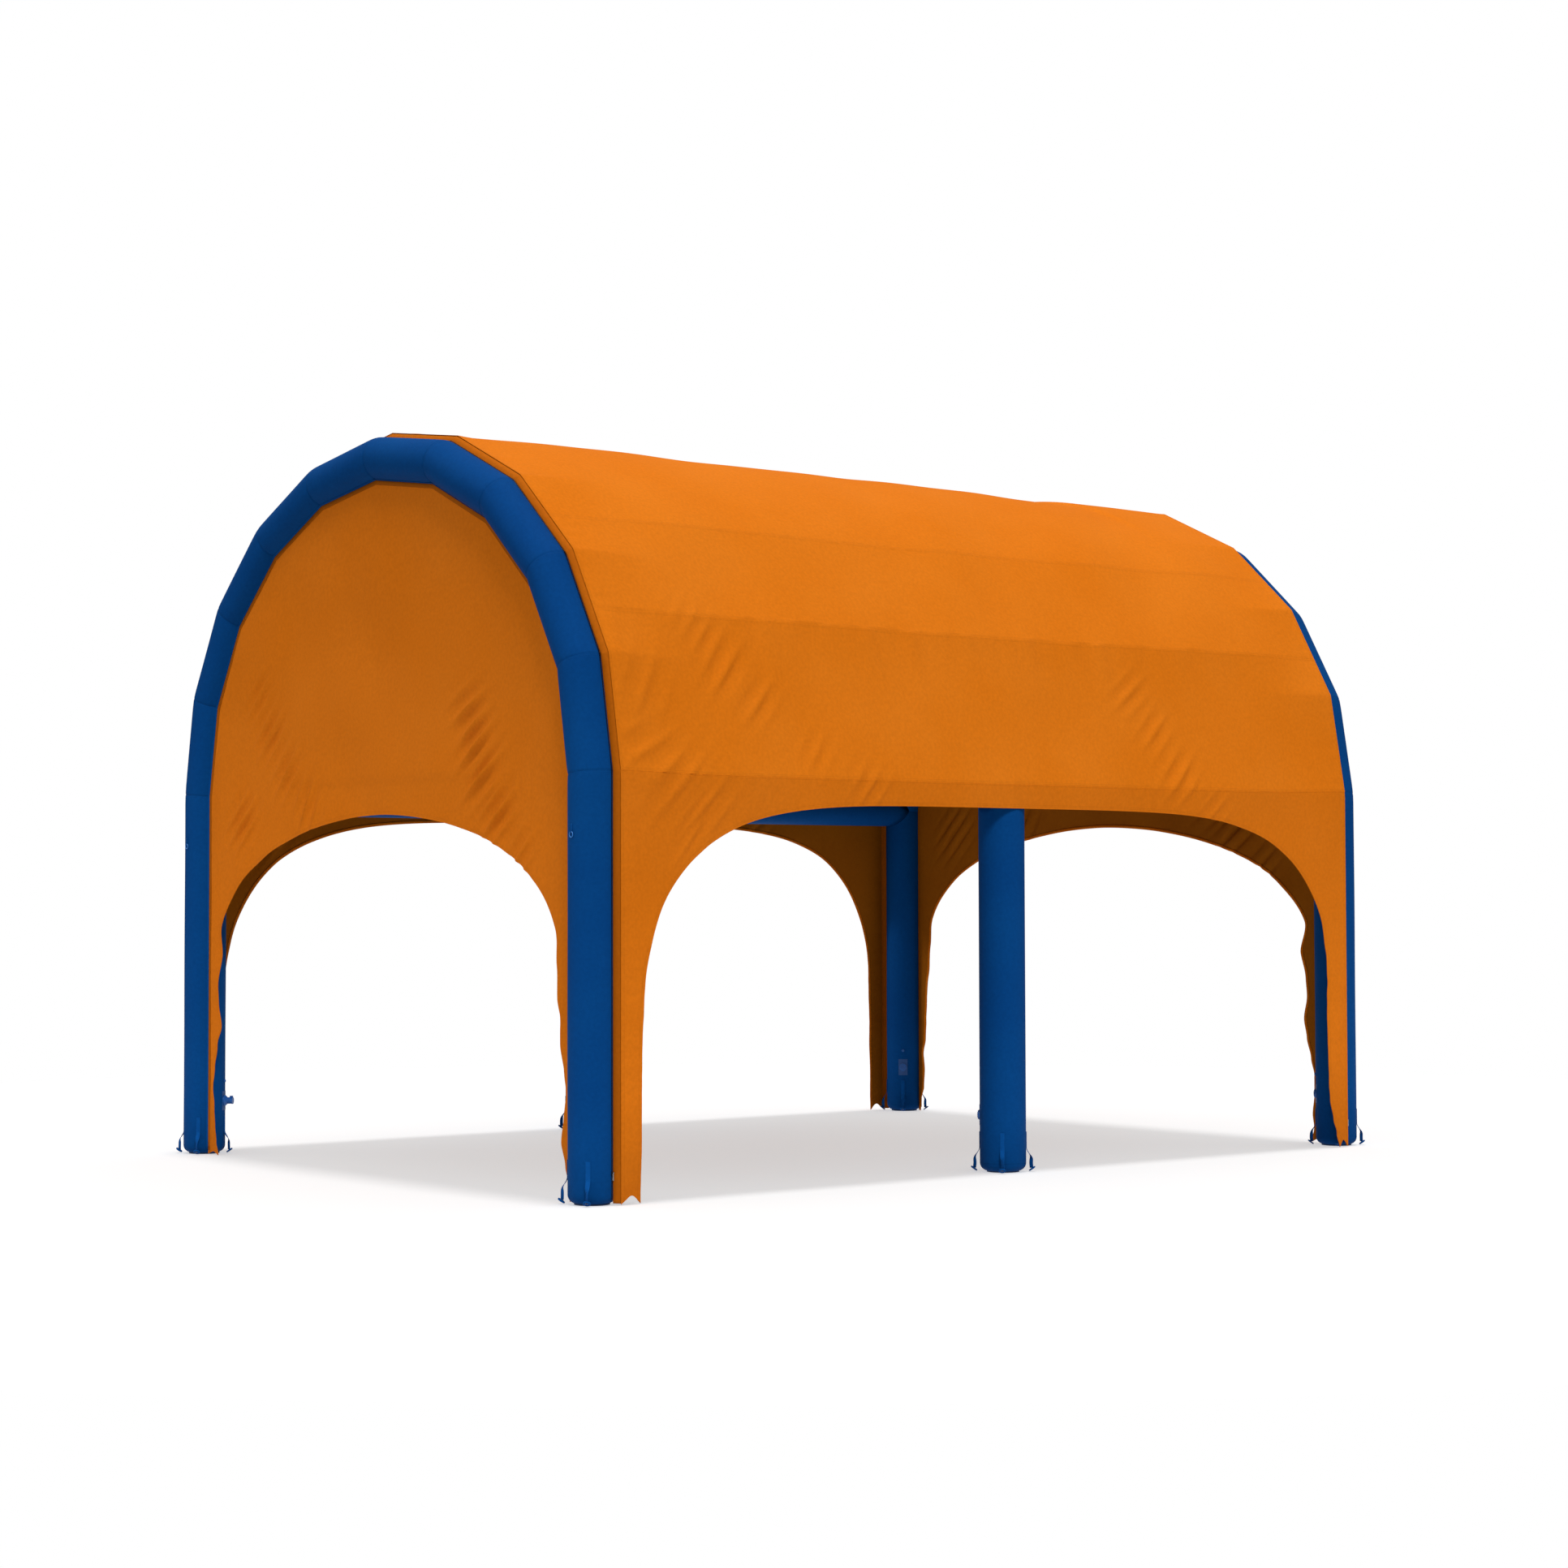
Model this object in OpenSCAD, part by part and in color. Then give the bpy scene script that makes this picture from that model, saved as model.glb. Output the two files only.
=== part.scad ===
// Air-beam shelter: two mitred air arches, eave beams and middle posts carry a barrel canopy with four
// arched doorways. +X runs across the shelter, +Y runs from the front arch to the rear arch, +Z is up.
// The origin is on the ground, at the centre of the footprint. Every size is in millimetres.

/* [Air frame] */
// Distance between the leg centres, across the shelter
span = 4100; // [3500:10:5200]
// Distance between the front and rear arch centres
bay_length = 5700; // [4500:10:7000]
// Height of the eave line, where the legs end and the arch starts
eave_h = 2190; // [1900:5:2800]
// Rise of the arch's centre line above the eave line
rise = 1845; // [1500:5:2400]
// Straight segments in each arch
arch_segments = 10; // [8:2:14]
// Diameter of the arch tubes
tube_d = 250; // [200:5:300]
// Clearance between an eave beam and the foot of the strip that carries the canopy
beam_clear = 0.7; // [0.3:0.1:20]
// Diameter of the middle posts
post_d = 262; // [200:2:310]
// Wall of the woven sleeve around each air tube
sleeve_t = 2; // [1:0.5:4]
// Wall of the airtight bladder inside each sleeve
bladder_t = 1; // [0.8:0.1:2]
// Radius of the rounded lower edge of each leg
foot_corner = 45; // [20:1:60]
// Radius of the short hoses that join the bladders
hose_r = 15; // [8:1:25]

/* [Fabric] */
// Thickness of the canopy and wall panels
fabric_t = 3; // [2:0.5:6]
// Distance from the tube centre line to the canopy's outer face
canopy_out = 153; // [150:1:175]
// Distance from an arch's centre to the canopy's edge, along the shelter
canopy_inset = 70; // [60:1:90]
// Distance from an arch's centre to its end wall, away from the middle
end_wall_set = 35; // [20:1:80]
// Height of the fabric's lower edge above the ground
fabric_base = 8; // [4:1:40]

/* [Doorways] */
// Width of a side wall's strips beside the legs
side_strip_w = 115; // [100:5:700]
// Height of a side wall's band above its doorway
side_band_h = 135; // [125:5:600]
// Height at which a side doorway starts to close in
side_door_spring = 455; // [200:5:1200]
// Distance from an end doorway's edge to the centre of the leg beside it
end_jamb = 190; // [180:5:700]
// Distance from an end doorway's top to the eave line
end_band_h = 165; // [90:5:600]
// Height at which an end doorway starts to close in
end_door_spring = 640; // [200:5:1200]
// Width of the binding along each doorway's edge
hem_w = 18; // [10:1:40]
// Thickness of the binding
hem_t = 1; // [0.8:0.2:2]

/* [Zips and straps] */
// Width of the zip chain that holds the canopy to an arch
zip_w = 7; // [5:1:10]
// Thickness of the zip chain
zip_t = 2.5; // [2:0.5:4]
// Length of a zip slider
slider_l = 20; // [15:1:30]
// Length of a zip slider's pull
pull_l = 34; // [20:1:60]
// Width of the anchor straps
strap_w = 25; // [15:1:40]
// Thickness of the anchor straps
strap_t = 3; // [2:0.5:5]
// Height of the top of an anchor strap's sewn part
strap_top = 225; // [150:5:260]
// Radius of a peg tab
tab_r = 21; // [15:1:30]
// Thickness of a peg tab
tab_t = 8; // [4:1:12]
// Radius of the eyelet in a peg tab
peg_r = 4; // [3:0.5:6]
// Distance from the guy-line rings' hinges up to the eave line
ring_drop = 300; // [250:5:800]
// Radius of a guy-line ring, to the middle of its wire
ring_r = 14; // [10:1:25]
// Radius of a guy-line ring's wire
ring_wire_r = 2.5; // [2:0.5:4]

/* [Valves and feet] */
// Height of the valves above the ground
valve_h = 320; // [300:5:600]
// Radius of a valve's bore
valve_bore_r = 15; // [10:1:20]
// Wall of a valve's barrel
valve_wall = 5; // [3:0.5:8]
// Length of the inflation nozzle beyond the tube's surface
nozzle_l = 47; // [35:1:80]
// Travel of the inflation valve's plunger
plunger_travel = 6; // [4:1:8]
// Height of the relief valves above the ground
relief_h = 440; // [410:5:700]
// Thickness of the wear pad under each leg
pad_t = 6; // [3:1:15]
// Radius of the wear pad
pad_r = 92; // [60:1:120]

/* [Hidden] */
$fn = 64;

TUBE_BLUE = "#08407a";
DEEP_BLUE = "#052f66";
ROOF_ORANGE = "#ee8020";
WALL_ORANGE = "#c56a16";
FLANGE_ORANGE = "#a8560f";
BLACK = "#141414";
GREY = "#8a8f94";

gap = 0.3;                                  // clearance between pieces that lie against each other
seam = 0.3;                                 // stitched joint between the straight lengths of an arch tube
tube_r = tube_d / 2;
post_r = post_d / 2;
leg_x = span / 2;
arch_y = bay_length / 2;
side_door_half_w = arch_y - canopy_inset - side_strip_w;
side_door_h = eave_h - side_band_h;
end_door_half_w = leg_x - end_jamb;
end_door_h = eave_h - end_band_h;
ring_h = eave_h - ring_drop;
reach = 400;                                // half the height of the wedges that cut the mitres
foot_z = pad_t + gap;
hose_z = eave_h - 45;                       // height of the hoses from the legs into the eave beams
canopy_in = canopy_out - fabric_t;
zip_angle = 17;                             // where the canopy zip lies on an arch tube
zip_low = tube_r + 0.8;                     // underside of the zip chain, from the tube's centre
foot_off = 9;                               // distance of the canopy strip's foot from the middle of the zip
flange_foot = [zip_low * cos(zip_angle) - foot_off * sin(zip_angle),
    zip_low * sin(zip_angle) + foot_off * cos(zip_angle)];
beam_r = flange_foot[0] - beam_clear;
piping_angle = acos(end_wall_set / tube_r) + 90;
valve_outer_r = valve_bore_r + valve_wall;
patch_t = 1.5;
flange_top = 6;                             // height of a valve's flange above the tube

// ---- the arch's centre line, in the plane across the shelter ----
function unit(v) = v / norm(v);
last = arch_segments + 2;
path = concat([[leg_x, 0]],
    [for (i = [0 : arch_segments])
        [leg_x * cos(180 * i / arch_segments), eave_h + rise * sin(180 * i / arch_segments)]],
    [[-leg_x, 0]]);
function run(k) = unit(path[k + 1] - path[k]);
function outward(k) = [run(k)[1], -run(k)[0]];
function mitre(k) = k == 0 ? outward(0) : k == last ? outward(last - 1)
    : (outward(k - 1) + outward(k)) / (1 + outward(k - 1) * outward(k));
function outline_point(k, d) = path[k] + d * mitre(k);
function arch_outline(d) = [for (k = [0 : last]) outline_point(k, d)];
function tilt(k) = atan2(run(k)[0], run(k)[1]);

// A prism between the mitre planes at the two ends of segment k, held back from them by clear.
module wedge(k, y, low, clear) {
    base = [0, low];
    start = k == 0 ? base : clear * run(k);
    end = k == last - 1 ? base : -clear * run(k);
    translate([0, y, 0]) rotate([90, 0, 0]) linear_extrude(2 * reach, center = true)
        polygon([outline_point(k, -reach) + start, outline_point(k, reach) + start,
            outline_point(k + 1, reach) + end, outline_point(k + 1, -reach) + end]);
}

// Carries a flat profile along the arch: its x is outward and its y is along the shelter.
module sweep_arch(y, low) {
    overrun = 60;
    for (k = [0 : last - 1])
        intersection() {
            translate([path[k][0], y, path[k][1]]) rotate([0, tilt(k), 0]) translate([0, 0, -overrun])
                linear_extrude(norm(path[k + 1] - path[k]) + 2 * overrun) children();
            wedge(k, y, low, 0);
        }
}

// A straight leg with a rounded lower edge.
module leg_solid(r, low, high, corner) {
    translate([0, 0, low]) rotate_extrude()
        polygon(concat([[0, 0]],
            [for (a = [0 : 15 : 90]) [r - corner + corner * sin(a), corner - corner * cos(a)]],
            [[r, high - low], [0, high - low]]));
}

// The arch's hollow tube: straight lengths that are sewn together at the mitres, on closed rounded legs.
module arch_tube(y, r, wall, low, corner) {
    for (k = [1 : last - 2])
        intersection() {
            translate([path[k][0], y, path[k][1]]) rotate([0, tilt(k), 0]) translate([0, 0, -60]) difference() {
                cylinder(r = r, h = norm(path[k + 1] - path[k]) + 120);
                translate([0, 0, -1]) cylinder(r = r - wall, h = norm(path[k + 1] - path[k]) + 122);
            }
            wedge(k, y, 0, seam / 2);
        }
    for (side = [0, last - 1])
        intersection() {
            translate([side == 0 ? leg_x : -leg_x, y, 0]) difference() {
                leg_solid(r, low, eave_h + 60, corner);
                leg_solid(r - wall, low + wall, eave_h + 61, corner - wall);
            }
            wedge(side, y, 0, seam / 2);
        }
}

module corner_mirror(left, rear) {
    mirror([left ? 1 : 0, 0, 0]) mirror([0, rear ? 1 : 0, 0]) children();
}

module each_corner() {
    for (left = [false, true], rear = [false, true]) corner_mirror(left, rear) children();
}

module each_side() {
    for (left = [0, 1]) mirror([left, 0, 0]) children();
}

// Places a piece that faces outward from a tube at (x, y), turned az degrees from +X, with its own +Z
// along that direction and its own -X upward.
module on_tube(x, y, z, az) {
    translate([x, y, z]) rotate([0, 0, az]) rotate([0, 90, 0]) children();
}

// The valve places: all corner legs face the middle of the shelter, and so do the posts, at 45 degrees.
module at_corner_valve(z) { on_tube(leg_x, -arch_y, z, 135) children(); }
module at_post_valve(z) { on_tube(leg_x, 0, z, 225) children(); }

// ---- air tubes ----
module arch_holes() {
    for (left = [0, 1]) mirror([left, 0, 0]) {
        at_corner_valve(valve_h) translate([0, 0, tube_r - 30]) cylinder(r = valve_outer_r + gap, h = 60);
        translate([leg_x, -arch_y, hose_z]) rotate([-90, 0, 0]) cylinder(r = hose_r + gap, h = tube_r + 30);
    }
}

module arch_sleeve() {
    color(TUBE_BLUE) difference() {
        arch_tube(-arch_y, tube_r, sleeve_t, foot_z, foot_corner);
        arch_holes();
    }
}

module arch_bladder() {
    skin = sleeve_t + gap;
    color(DEEP_BLUE) difference() {
        arch_tube(-arch_y, tube_r - skin, bladder_t, foot_z + skin, foot_corner - skin);
        arch_holes();
    }
}

module beam_solid(r, clear) {
    difference() {
        translate([leg_x, arch_y, eave_h]) rotate([90, 0, 0]) cylinder(r = r, h = bay_length);
        for (rear = [0, 1]) mirror([0, rear, 0]) {
            translate([leg_x, -arch_y, 0]) cylinder(r = tube_r + clear, h = eave_h);
            translate([leg_x, -arch_y, eave_h]) rotate([0, tilt(1), 0])
                translate([0, 0, -60]) cylinder(r = tube_r + clear, h = reach);
        }
    }
}

module beam_holes() {
    for (rear = [0, 1]) mirror([0, rear, 0])
        translate([leg_x, -arch_y, hose_z]) rotate([-90, 0, 0]) cylinder(r = hose_r + gap, h = tube_r + 60);
    translate([leg_x, 0, eave_h - beam_r - 30]) cylinder(r = hose_r + gap, h = 60);
}

module beam_sleeve() {
    color(TUBE_BLUE) difference() {
        beam_solid(beam_r, gap);
        beam_solid(beam_r - sleeve_t, gap - 1);
        beam_holes();
    }
}

// The bladder's outline: a cylinder with flat ends that stay clear of the arches' legs.
module beam_lining(r, clear) {
    length = bay_length - 2 * (tube_r + clear);
    translate([leg_x, length / 2, eave_h]) rotate([90, 0, 0]) cylinder(r = r, h = length);
}

module beam_bladder() {
    skin = sleeve_t + gap;
    color(DEEP_BLUE) difference() {
        beam_lining(beam_r - skin, gap);
        beam_lining(beam_r - skin - bladder_t, gap + bladder_t);
        beam_holes();
    }
}

module post_solid(r, low, corner, clear) {
    difference() {
        translate([leg_x, 0, 0]) leg_solid(r, low, eave_h - beam_r / 2, corner);
        translate([leg_x, reach, eave_h]) rotate([90, 0, 0]) cylinder(r = beam_r + clear, h = 2 * reach);
    }
}

module post_holes() {
    at_post_valve(valve_h) translate([0, 0, post_r - 30]) cylinder(r = valve_outer_r + gap, h = 60);
    translate([leg_x, 0, eave_h - beam_r - 60]) cylinder(r = hose_r + gap, h = 120);
}

module post_sleeve() {
    color(TUBE_BLUE) difference() {
        post_solid(post_r, foot_z, foot_corner, gap);
        post_solid(post_r - sleeve_t, foot_z + sleeve_t, foot_corner - sleeve_t, gap + sleeve_t);
        post_holes();
    }
}

module post_bladder() {
    skin = sleeve_t + gap;
    inner = skin + bladder_t;
    color(DEEP_BLUE) difference() {
        post_solid(post_r - skin, foot_z + skin, foot_corner - skin, gap + skin);
        post_solid(post_r - inner, foot_z + inner, foot_corner - inner, gap + inner);
        post_holes();
    }
}

// Short hoses that let air pass between the bladders, at the eave corners and over the posts.
module air_hoses() {
    hose_l = 70;
    wall = 2;
    color(GREY) {
        each_corner() translate([leg_x, -arch_y + tube_r - hose_l / 2, hose_z]) rotate([-90, 0, 0])
            hose(hose_l, wall);
        each_side() translate([leg_x, 0, eave_h - beam_r - hose_l / 2]) hose(hose_l, wall);
    }
}

module hose(l, wall) {
    difference() {
        cylinder(r = hose_r, h = l);
        translate([0, 0, -1]) cylinder(r = hose_r - wall, h = l + 2);
    }
}

// ---- fabric ----
// A doorway's outline: a flattened arch from spring height to full height on straight jambs. Its rounding
// follows |x / half width|^flat + |rise / full rise|^round = 1.
function doorway(half_w, spring, top, flat, round) = concat([[half_w, -50]],
    [for (a = [0 : 7.5 : 90])
        [half_w * pow(cos(a), 2 / flat), spring + (top - spring) * pow(sin(a), 2 / round)]],
    [for (a = [82.5 : -7.5 : 0])
        [-half_w * pow(cos(a), 2 / flat), spring + (top - spring) * pow(sin(a), 2 / round)]],
    [[-half_w, -50]]);
function side_doorway(grow) = doorway(side_door_half_w + grow, side_door_spring, side_door_h + grow, 5, 3.2);
function end_doorway(grow) = doorway(end_door_half_w + grow, end_door_spring, end_door_h + grow, 1.8, 4.1);

module roof_canopy() {
    color(ROOF_ORANGE) translate([0, arch_y - canopy_inset, 0]) rotate([90, 0, 0])
        linear_extrude(bay_length - 2 * canopy_inset)
            polygon(concat([for (k = [1 : last - 1]) outline_point(k, canopy_out)],
                [for (k = [last - 1 : -1 : 1]) outline_point(k, canopy_in)]));
}

// The panel below the eave seam, with the wide doorway cut out of it.
module side_panel(d_in, d_out) {
    seam = [0, -gap];
    rotate([90, 0, 0]) linear_extrude(bay_length - 2 * canopy_inset, center = true)
        polygon([[leg_x + d_in, fabric_base], [leg_x + d_out, fabric_base],
            outline_point(1, d_out) + seam, outline_point(1, d_in) + seam]);
}

module side_doorway_cut(grow) {
    translate([leg_x, 0, 0]) rotate([90, 0, 90]) linear_extrude(reach) polygon(side_doorway(grow));
}

module side_wall() {
    color(WALL_ORANGE) difference() {
        side_panel(canopy_in, canopy_out);
        side_doorway_cut(0);
    }
}

module side_binding() {
    inner = canopy_out + gap;
    color(FLANGE_ORANGE) intersection() {
        difference() {
            side_panel(inner, inner + hem_t);
            side_doorway_cut(0);
        }
        side_doorway_cut(hem_w);
    }
}

// How far inside the arch's centre line the end wall's edge stays, so that it clears the tube.
wall_edge = sqrt(pow(tube_r, 2) - pow(end_wall_set - fabric_t, 2)) + gap;

module end_panel(from_y, thick) {
    translate([0, -arch_y - from_y, 0]) rotate([90, 0, 0]) linear_extrude(thick) intersection() {
        polygon(arch_outline(-wall_edge));
        translate([-span, fabric_base]) square([2 * span, eave_h + rise]);
    }
}

module end_doorway_cut(grow) {
    translate([0, -arch_y, 0]) rotate([90, 0, 0]) linear_extrude(reach) polygon(end_doorway(grow));
}

module end_wall() {
    color(WALL_ORANGE) difference() {
        end_panel(end_wall_set - fabric_t / 2, fabric_t);
        end_doorway_cut(0);
    }
}

module end_binding() {
    color(FLANGE_ORANGE) intersection() {
        difference() {
            end_panel(end_wall_set + fabric_t / 2 + gap, hem_t);
            end_doorway_cut(0);
        }
        end_doorway_cut(hem_w);
    }
}

// The strip that rises from the zip on an arch tube to the canopy's edge.
module canopy_flange() {
    head = [canopy_out - 1.5, canopy_inset - gap];
    thick = 2;
    color(FLANGE_ORANGE) sweep_arch(-arch_y, fabric_base)
        polygon([flange_foot, flange_foot + [0, thick], head - [thick, 0], head]);
}

module canopy_zip() {
    color(BLACK) sweep_arch(-arch_y, 25)
        rotate(zip_angle) translate([zip_low, -zip_w / 2]) square([zip_t, zip_w]);
}

// The webbing strip that holds the end wall's edge to an arch tube.
module wall_piping() {
    color(TUBE_BLUE) sweep_arch(-arch_y, 25)
        rotate(-piping_angle) translate([tube_r + gap, 2]) square([2, 14]);
}

// ---- feet, straps and rings ----
module wear_pads() {
    color(DEEP_BLUE) {
        each_corner() translate([leg_x, -arch_y, 0]) cylinder(r = pad_r, h = pad_t);
        each_side() translate([leg_x, 0, 0]) cylinder(r = pad_r, h = pad_t);
    }
}

tab_lean = 35;
tab_reach = 33;                             // distance of a tab's centre from the tube's surface
tab_z = tab_r * sin(tab_lean) + tab_t / 2 * cos(tab_lean) + 2;
strap_foot = tab_reach - 5 * cos(tab_lean);
strap_end_z = tab_z + (tab_t / 2 + (strap_foot + strap_t / 2 - tab_reach) * sin(tab_lean)) / cos(tab_lean) + gap;

// An anchor strap, sewn to the leg above and hanging free of its rounded edge below.
module anchor_strap() {
    rotate([90, 0, 0]) linear_extrude(strap_w, center = true)
        polygon([[gap, strap_top], [gap, 125], [strap_foot - strap_t / 2, 84],
            [strap_foot - strap_t / 2, strap_end_z], [strap_foot + strap_t / 2, strap_end_z],
            [strap_foot + strap_t / 2, 86], [gap + strap_t, 127.5], [gap + strap_t, strap_top]]);
}

module peg_tab() {
    translate([tab_reach, 0, tab_z]) rotate([0, -tab_lean, 0]) difference() {
        translate([0, 0, -tab_t / 2]) cylinder(r = tab_r, h = tab_t);
        translate([6, 0, -tab_t]) cylinder(r = peg_r, h = 2 * tab_t);
    }
}

// Four of a piece around each leg and post, on the diagonals.
module around_legs() {
    for (az = [45 : 90 : 315]) {
        each_corner() translate([leg_x, -arch_y, 0]) rotate(az) translate([tube_r, 0, 0]) children();
        each_side() translate([leg_x, 0, 0]) rotate(az) translate([post_r, 0, 0]) children();
    }
}

module anchor_straps() { color(TUBE_BLUE) around_legs() anchor_strap(); }
module peg_tabs() { color(TUBE_BLUE) around_legs() peg_tab(); }

loop_in = ring_wire_r + 1;
loop_t = 1.5;
ring_off = loop_in + loop_t + gap;          // distance of a ring's hinge from the leg's surface

// A sewn loop with its stitched tail, which carries a guy-line ring.
module guy_loops() {
    color(TUBE_BLUE) each_corner() translate([leg_x, -arch_y - tube_r - ring_off, ring_h]) {
        rotate([0, 90, 0]) difference() {
            cylinder(r = loop_in + loop_t, h = 8, center = true);
            cylinder(r = loop_in, h = 10, center = true);
        }
        translate([-6, ring_off - gap - 2, loop_in]) cube([12, 2, 40]);
    }
}

module guy_ring() {
    color(GREY) translate([leg_x, -arch_y - tube_r - ring_off, ring_h - ring_r]) rotate([90, 0, 0])
        rotate_extrude() translate([ring_r, 0]) circle(ring_wire_r);
}

// ---- zip sliders, on the straight part of each corner leg ----
slider_z = 150;
rail = 0.4;                                 // side clearance of a slider on its chain
slider_low = zip_low + zip_t + rail;
bridge_r = 1;
bridge_w = slider_low + 6;                  // distance of the pull's hinge from the tube's centre

// Own frame: +X outward from the tube, +Y across the chain, +Z along it.
module at_zip() { translate([leg_x, -arch_y, slider_z]) rotate(zip_angle) children(); }

module slider() {
    half = zip_w / 2 + rail + 3;
    color(BLACK) at_zip() {
        translate([slider_low, -half, 0]) cube([2.5, 2 * half, slider_l]);
        for (s = [-1, 1]) {
            translate([zip_low + 1, s > 0 ? half - 3 : -half, 0]) cube([slider_low - zip_low, 3, slider_l]);
            translate([slider_low + 2, s > 0 ? 4.5 : -6.5, slider_l - 9]) cube([5, 2, 6]);
        }
        translate([bridge_w, 0, slider_l - 6]) rotate([90, 0, 0])
            cylinder(r = bridge_r, h = 11, center = true);
    }
}

module slider_pull() {
    eye = bridge_r + 0.3;
    color(GREY) at_zip() translate([bridge_w, 0, slider_l - 6]) difference() {
        union() {
            rotate([90, 0, 0]) cylinder(r = eye + 1.4, h = 7, center = true);
            translate([-0.8, -3.5, -pull_l]) cube([1.6, 7, pull_l]);
            translate([-1.1, -4, -pull_l - 4]) cube([2.2, 8, 14]);
        }
        rotate([90, 0, 0]) cylinder(r = eye, h = 20, center = true);
    }
}

// ---- valves: own frame has +Z out of the tube and -X upward ----
module tube_void(r) { translate([-200, 0, 0]) rotate([0, 90, 0]) cylinder(r = r, h = 400, $fn = 256); }

module valve_patch(r) {
    intersection() {
        difference() {
            tube_void(r + gap + patch_t);
            tube_void(r + gap);
        }
        difference() {
            translate([-58, -33, 0]) cube([116, 66, 2 * r]);
            cylinder(r = valve_outer_r + gap, h = 2 * r);
        }
    }
}

module valve_patches() {
    color(DEEP_BLUE) {
        each_corner() at_corner_valve(valve_h) valve_patch(tube_r);
        each_side() at_post_valve(valve_h) valve_patch(post_r);
    }
}

inner_end = 22;                             // how far a barrel reaches inside the tube's surface

module dump_valve(r) {
    seat = r + flange_top;
    difference() {
        union() {
            translate([0, 0, r - inner_end]) cylinder(r = valve_outer_r, h = inner_end + flange_top);
            difference() {
                cylinder(r = valve_outer_r + 8, h = seat);
                tube_void(r + 2 * gap + patch_t);
            }
        }
        translate([0, 0, r - inner_end - 1]) cylinder(r = valve_bore_r, h = 2 * inner_end);
        translate([0, 0, seat - 2]) seal_ring(1.4, 2);
    }
}

// A ring of square or round section that runs around a valve's bore.
module seal_ring(half_w, h) {
    rotate_extrude() translate([valve_bore_r + 2.5 - half_w, 0]) square([2 * half_w, h + 1]);
}

module each_dump_valve() {
    corner_mirror(false, false) at_corner_valve(valve_h) valve_at(tube_r) children();
    corner_mirror(true, true) at_corner_valve(valve_h) valve_at(tube_r) children();
    corner_mirror(false, true) at_corner_valve(valve_h) valve_at(tube_r) children();
    each_side() at_post_valve(valve_h) valve_at(post_r) children();
}

module valve_at(r) { translate([0, 0, r]) children(); }

module dump_valves() {
    color(TUBE_BLUE) {
        corner_mirror(false, false) at_corner_valve(valve_h) dump_valve(tube_r);
        corner_mirror(true, true) at_corner_valve(valve_h) dump_valve(tube_r);
        corner_mirror(false, true) at_corner_valve(valve_h) dump_valve(tube_r);
        each_side() at_post_valve(valve_h) dump_valve(post_r);
    }
}

module dump_seals() {
    color(BLACK) each_dump_valve() translate([0, 0, flange_top - 1])
        rotate_extrude() translate([valve_bore_r + 2.5, 0]) circle(0.9);
}

module dump_cap(r) {
    seat = r + flange_top + gap;
    color(TUBE_BLUE) {
        translate([0, 0, r - inner_end / 2]) cylinder(r = valve_bore_r - 0.4, h = inner_end / 2 + flange_top + gap);
        translate([0, 0, seat]) cylinder(r = valve_outer_r + 4, h = 4);
        for (turn = [0, 90]) rotate(turn) translate([-valve_bore_r, -2, seat + 3]) cube([2 * valve_bore_r, 4, 4]);
    }
}

nozzle_top = tube_r + nozzle_l;
hinge_up = valve_outer_r + 6;               // height of the cap's hinge above the valve's axis
hinge_out = nozzle_top + 3;
knuckle_r = 3.2;
pin_r = 1.5;

module inflation_valve() {
    base = tube_r + flange_top;
    color(TUBE_BLUE) corner_mirror(true, false) at_corner_valve(valve_h) difference() {
        union() {
            translate([0, 0, tube_r - inner_end]) cylinder(r = valve_outer_r, h = nozzle_l + inner_end);
            difference() {
                union() {
                    cylinder(r = valve_outer_r + 13, h = base);
                    translate([0, 0, base]) cylinder(r1 = valve_outer_r + 13, r2 = valve_outer_r, h = 14);
                }
                tube_void(tube_r + 2 * gap + patch_t);
            }
            for (s = [-1, 1]) translate([-hinge_up - 3, s > 0 ? 4.4 : -7.4, nozzle_top - 12]) {
                cube([10, 3, 11]);
                cube([6.4, 3, 18]);
            }
            translate([-hinge_up, 0, hinge_out]) rotate([90, 0, 0]) cylinder(r = pin_r, h = 12, center = true);
        }
        difference() {
            translate([0, 0, tube_r - inner_end - 1]) cylinder(r = valve_bore_r, h = nozzle_l + inner_end + 2);
            translate([0, 0, base]) spider();
        }
    }
}

// The cross that guides the plunger's stem in the nozzle.
module spider() {
    difference() {
        union() {
            cylinder(r = 5, h = 8);
            for (turn = [0, 90]) rotate(turn) translate([-valve_bore_r - 1, -1.5, 0]) cube([2 * valve_bore_r + 2, 3, 5]);
        }
        translate([0, 0, -1]) cylinder(r = 2.3, h = 10);
    }
}

module inflation_plunger() {
    low = tube_r - inner_end - gap;
    head = tube_r + flange_top + 8 + plunger_travel + 2;
    color(GREY) corner_mirror(true, false) at_corner_valve(valve_h) {
        translate([0, 0, low - 3]) cylinder(r = valve_bore_r + 3, h = 3);
        translate([0, 0, low - 1]) cylinder(r = 2, h = head - low + 2);
        translate([0, 0, head]) cylinder(r = 6, h = 4);
    }
}

module inflation_cap() {
    seat = nozzle_top + gap;
    color(TUBE_BLUE) corner_mirror(true, false) at_corner_valve(valve_h) difference() {
        union() {
            translate([0, 0, seat]) cylinder(r = valve_outer_r + 1, h = 7);
            translate([0, 0, seat - 4]) cylinder(r = valve_bore_r - 2, h = 5);
            translate([-hinge_up, -4, seat + 1]) cube([hinge_up, 8, 4]);
            translate([-hinge_up, 0, hinge_out]) rotate([90, 0, 0]) cylinder(r = knuckle_r, h = 8, center = true);
        }
        translate([-hinge_up, 0, hinge_out]) rotate([90, 0, 0]) cylinder(r = pin_r + 0.1, h = 20, center = true);
        translate([0, 0, seat - 5]) cylinder(r = valve_bore_r - 4, h = 6);
    }
}

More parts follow.
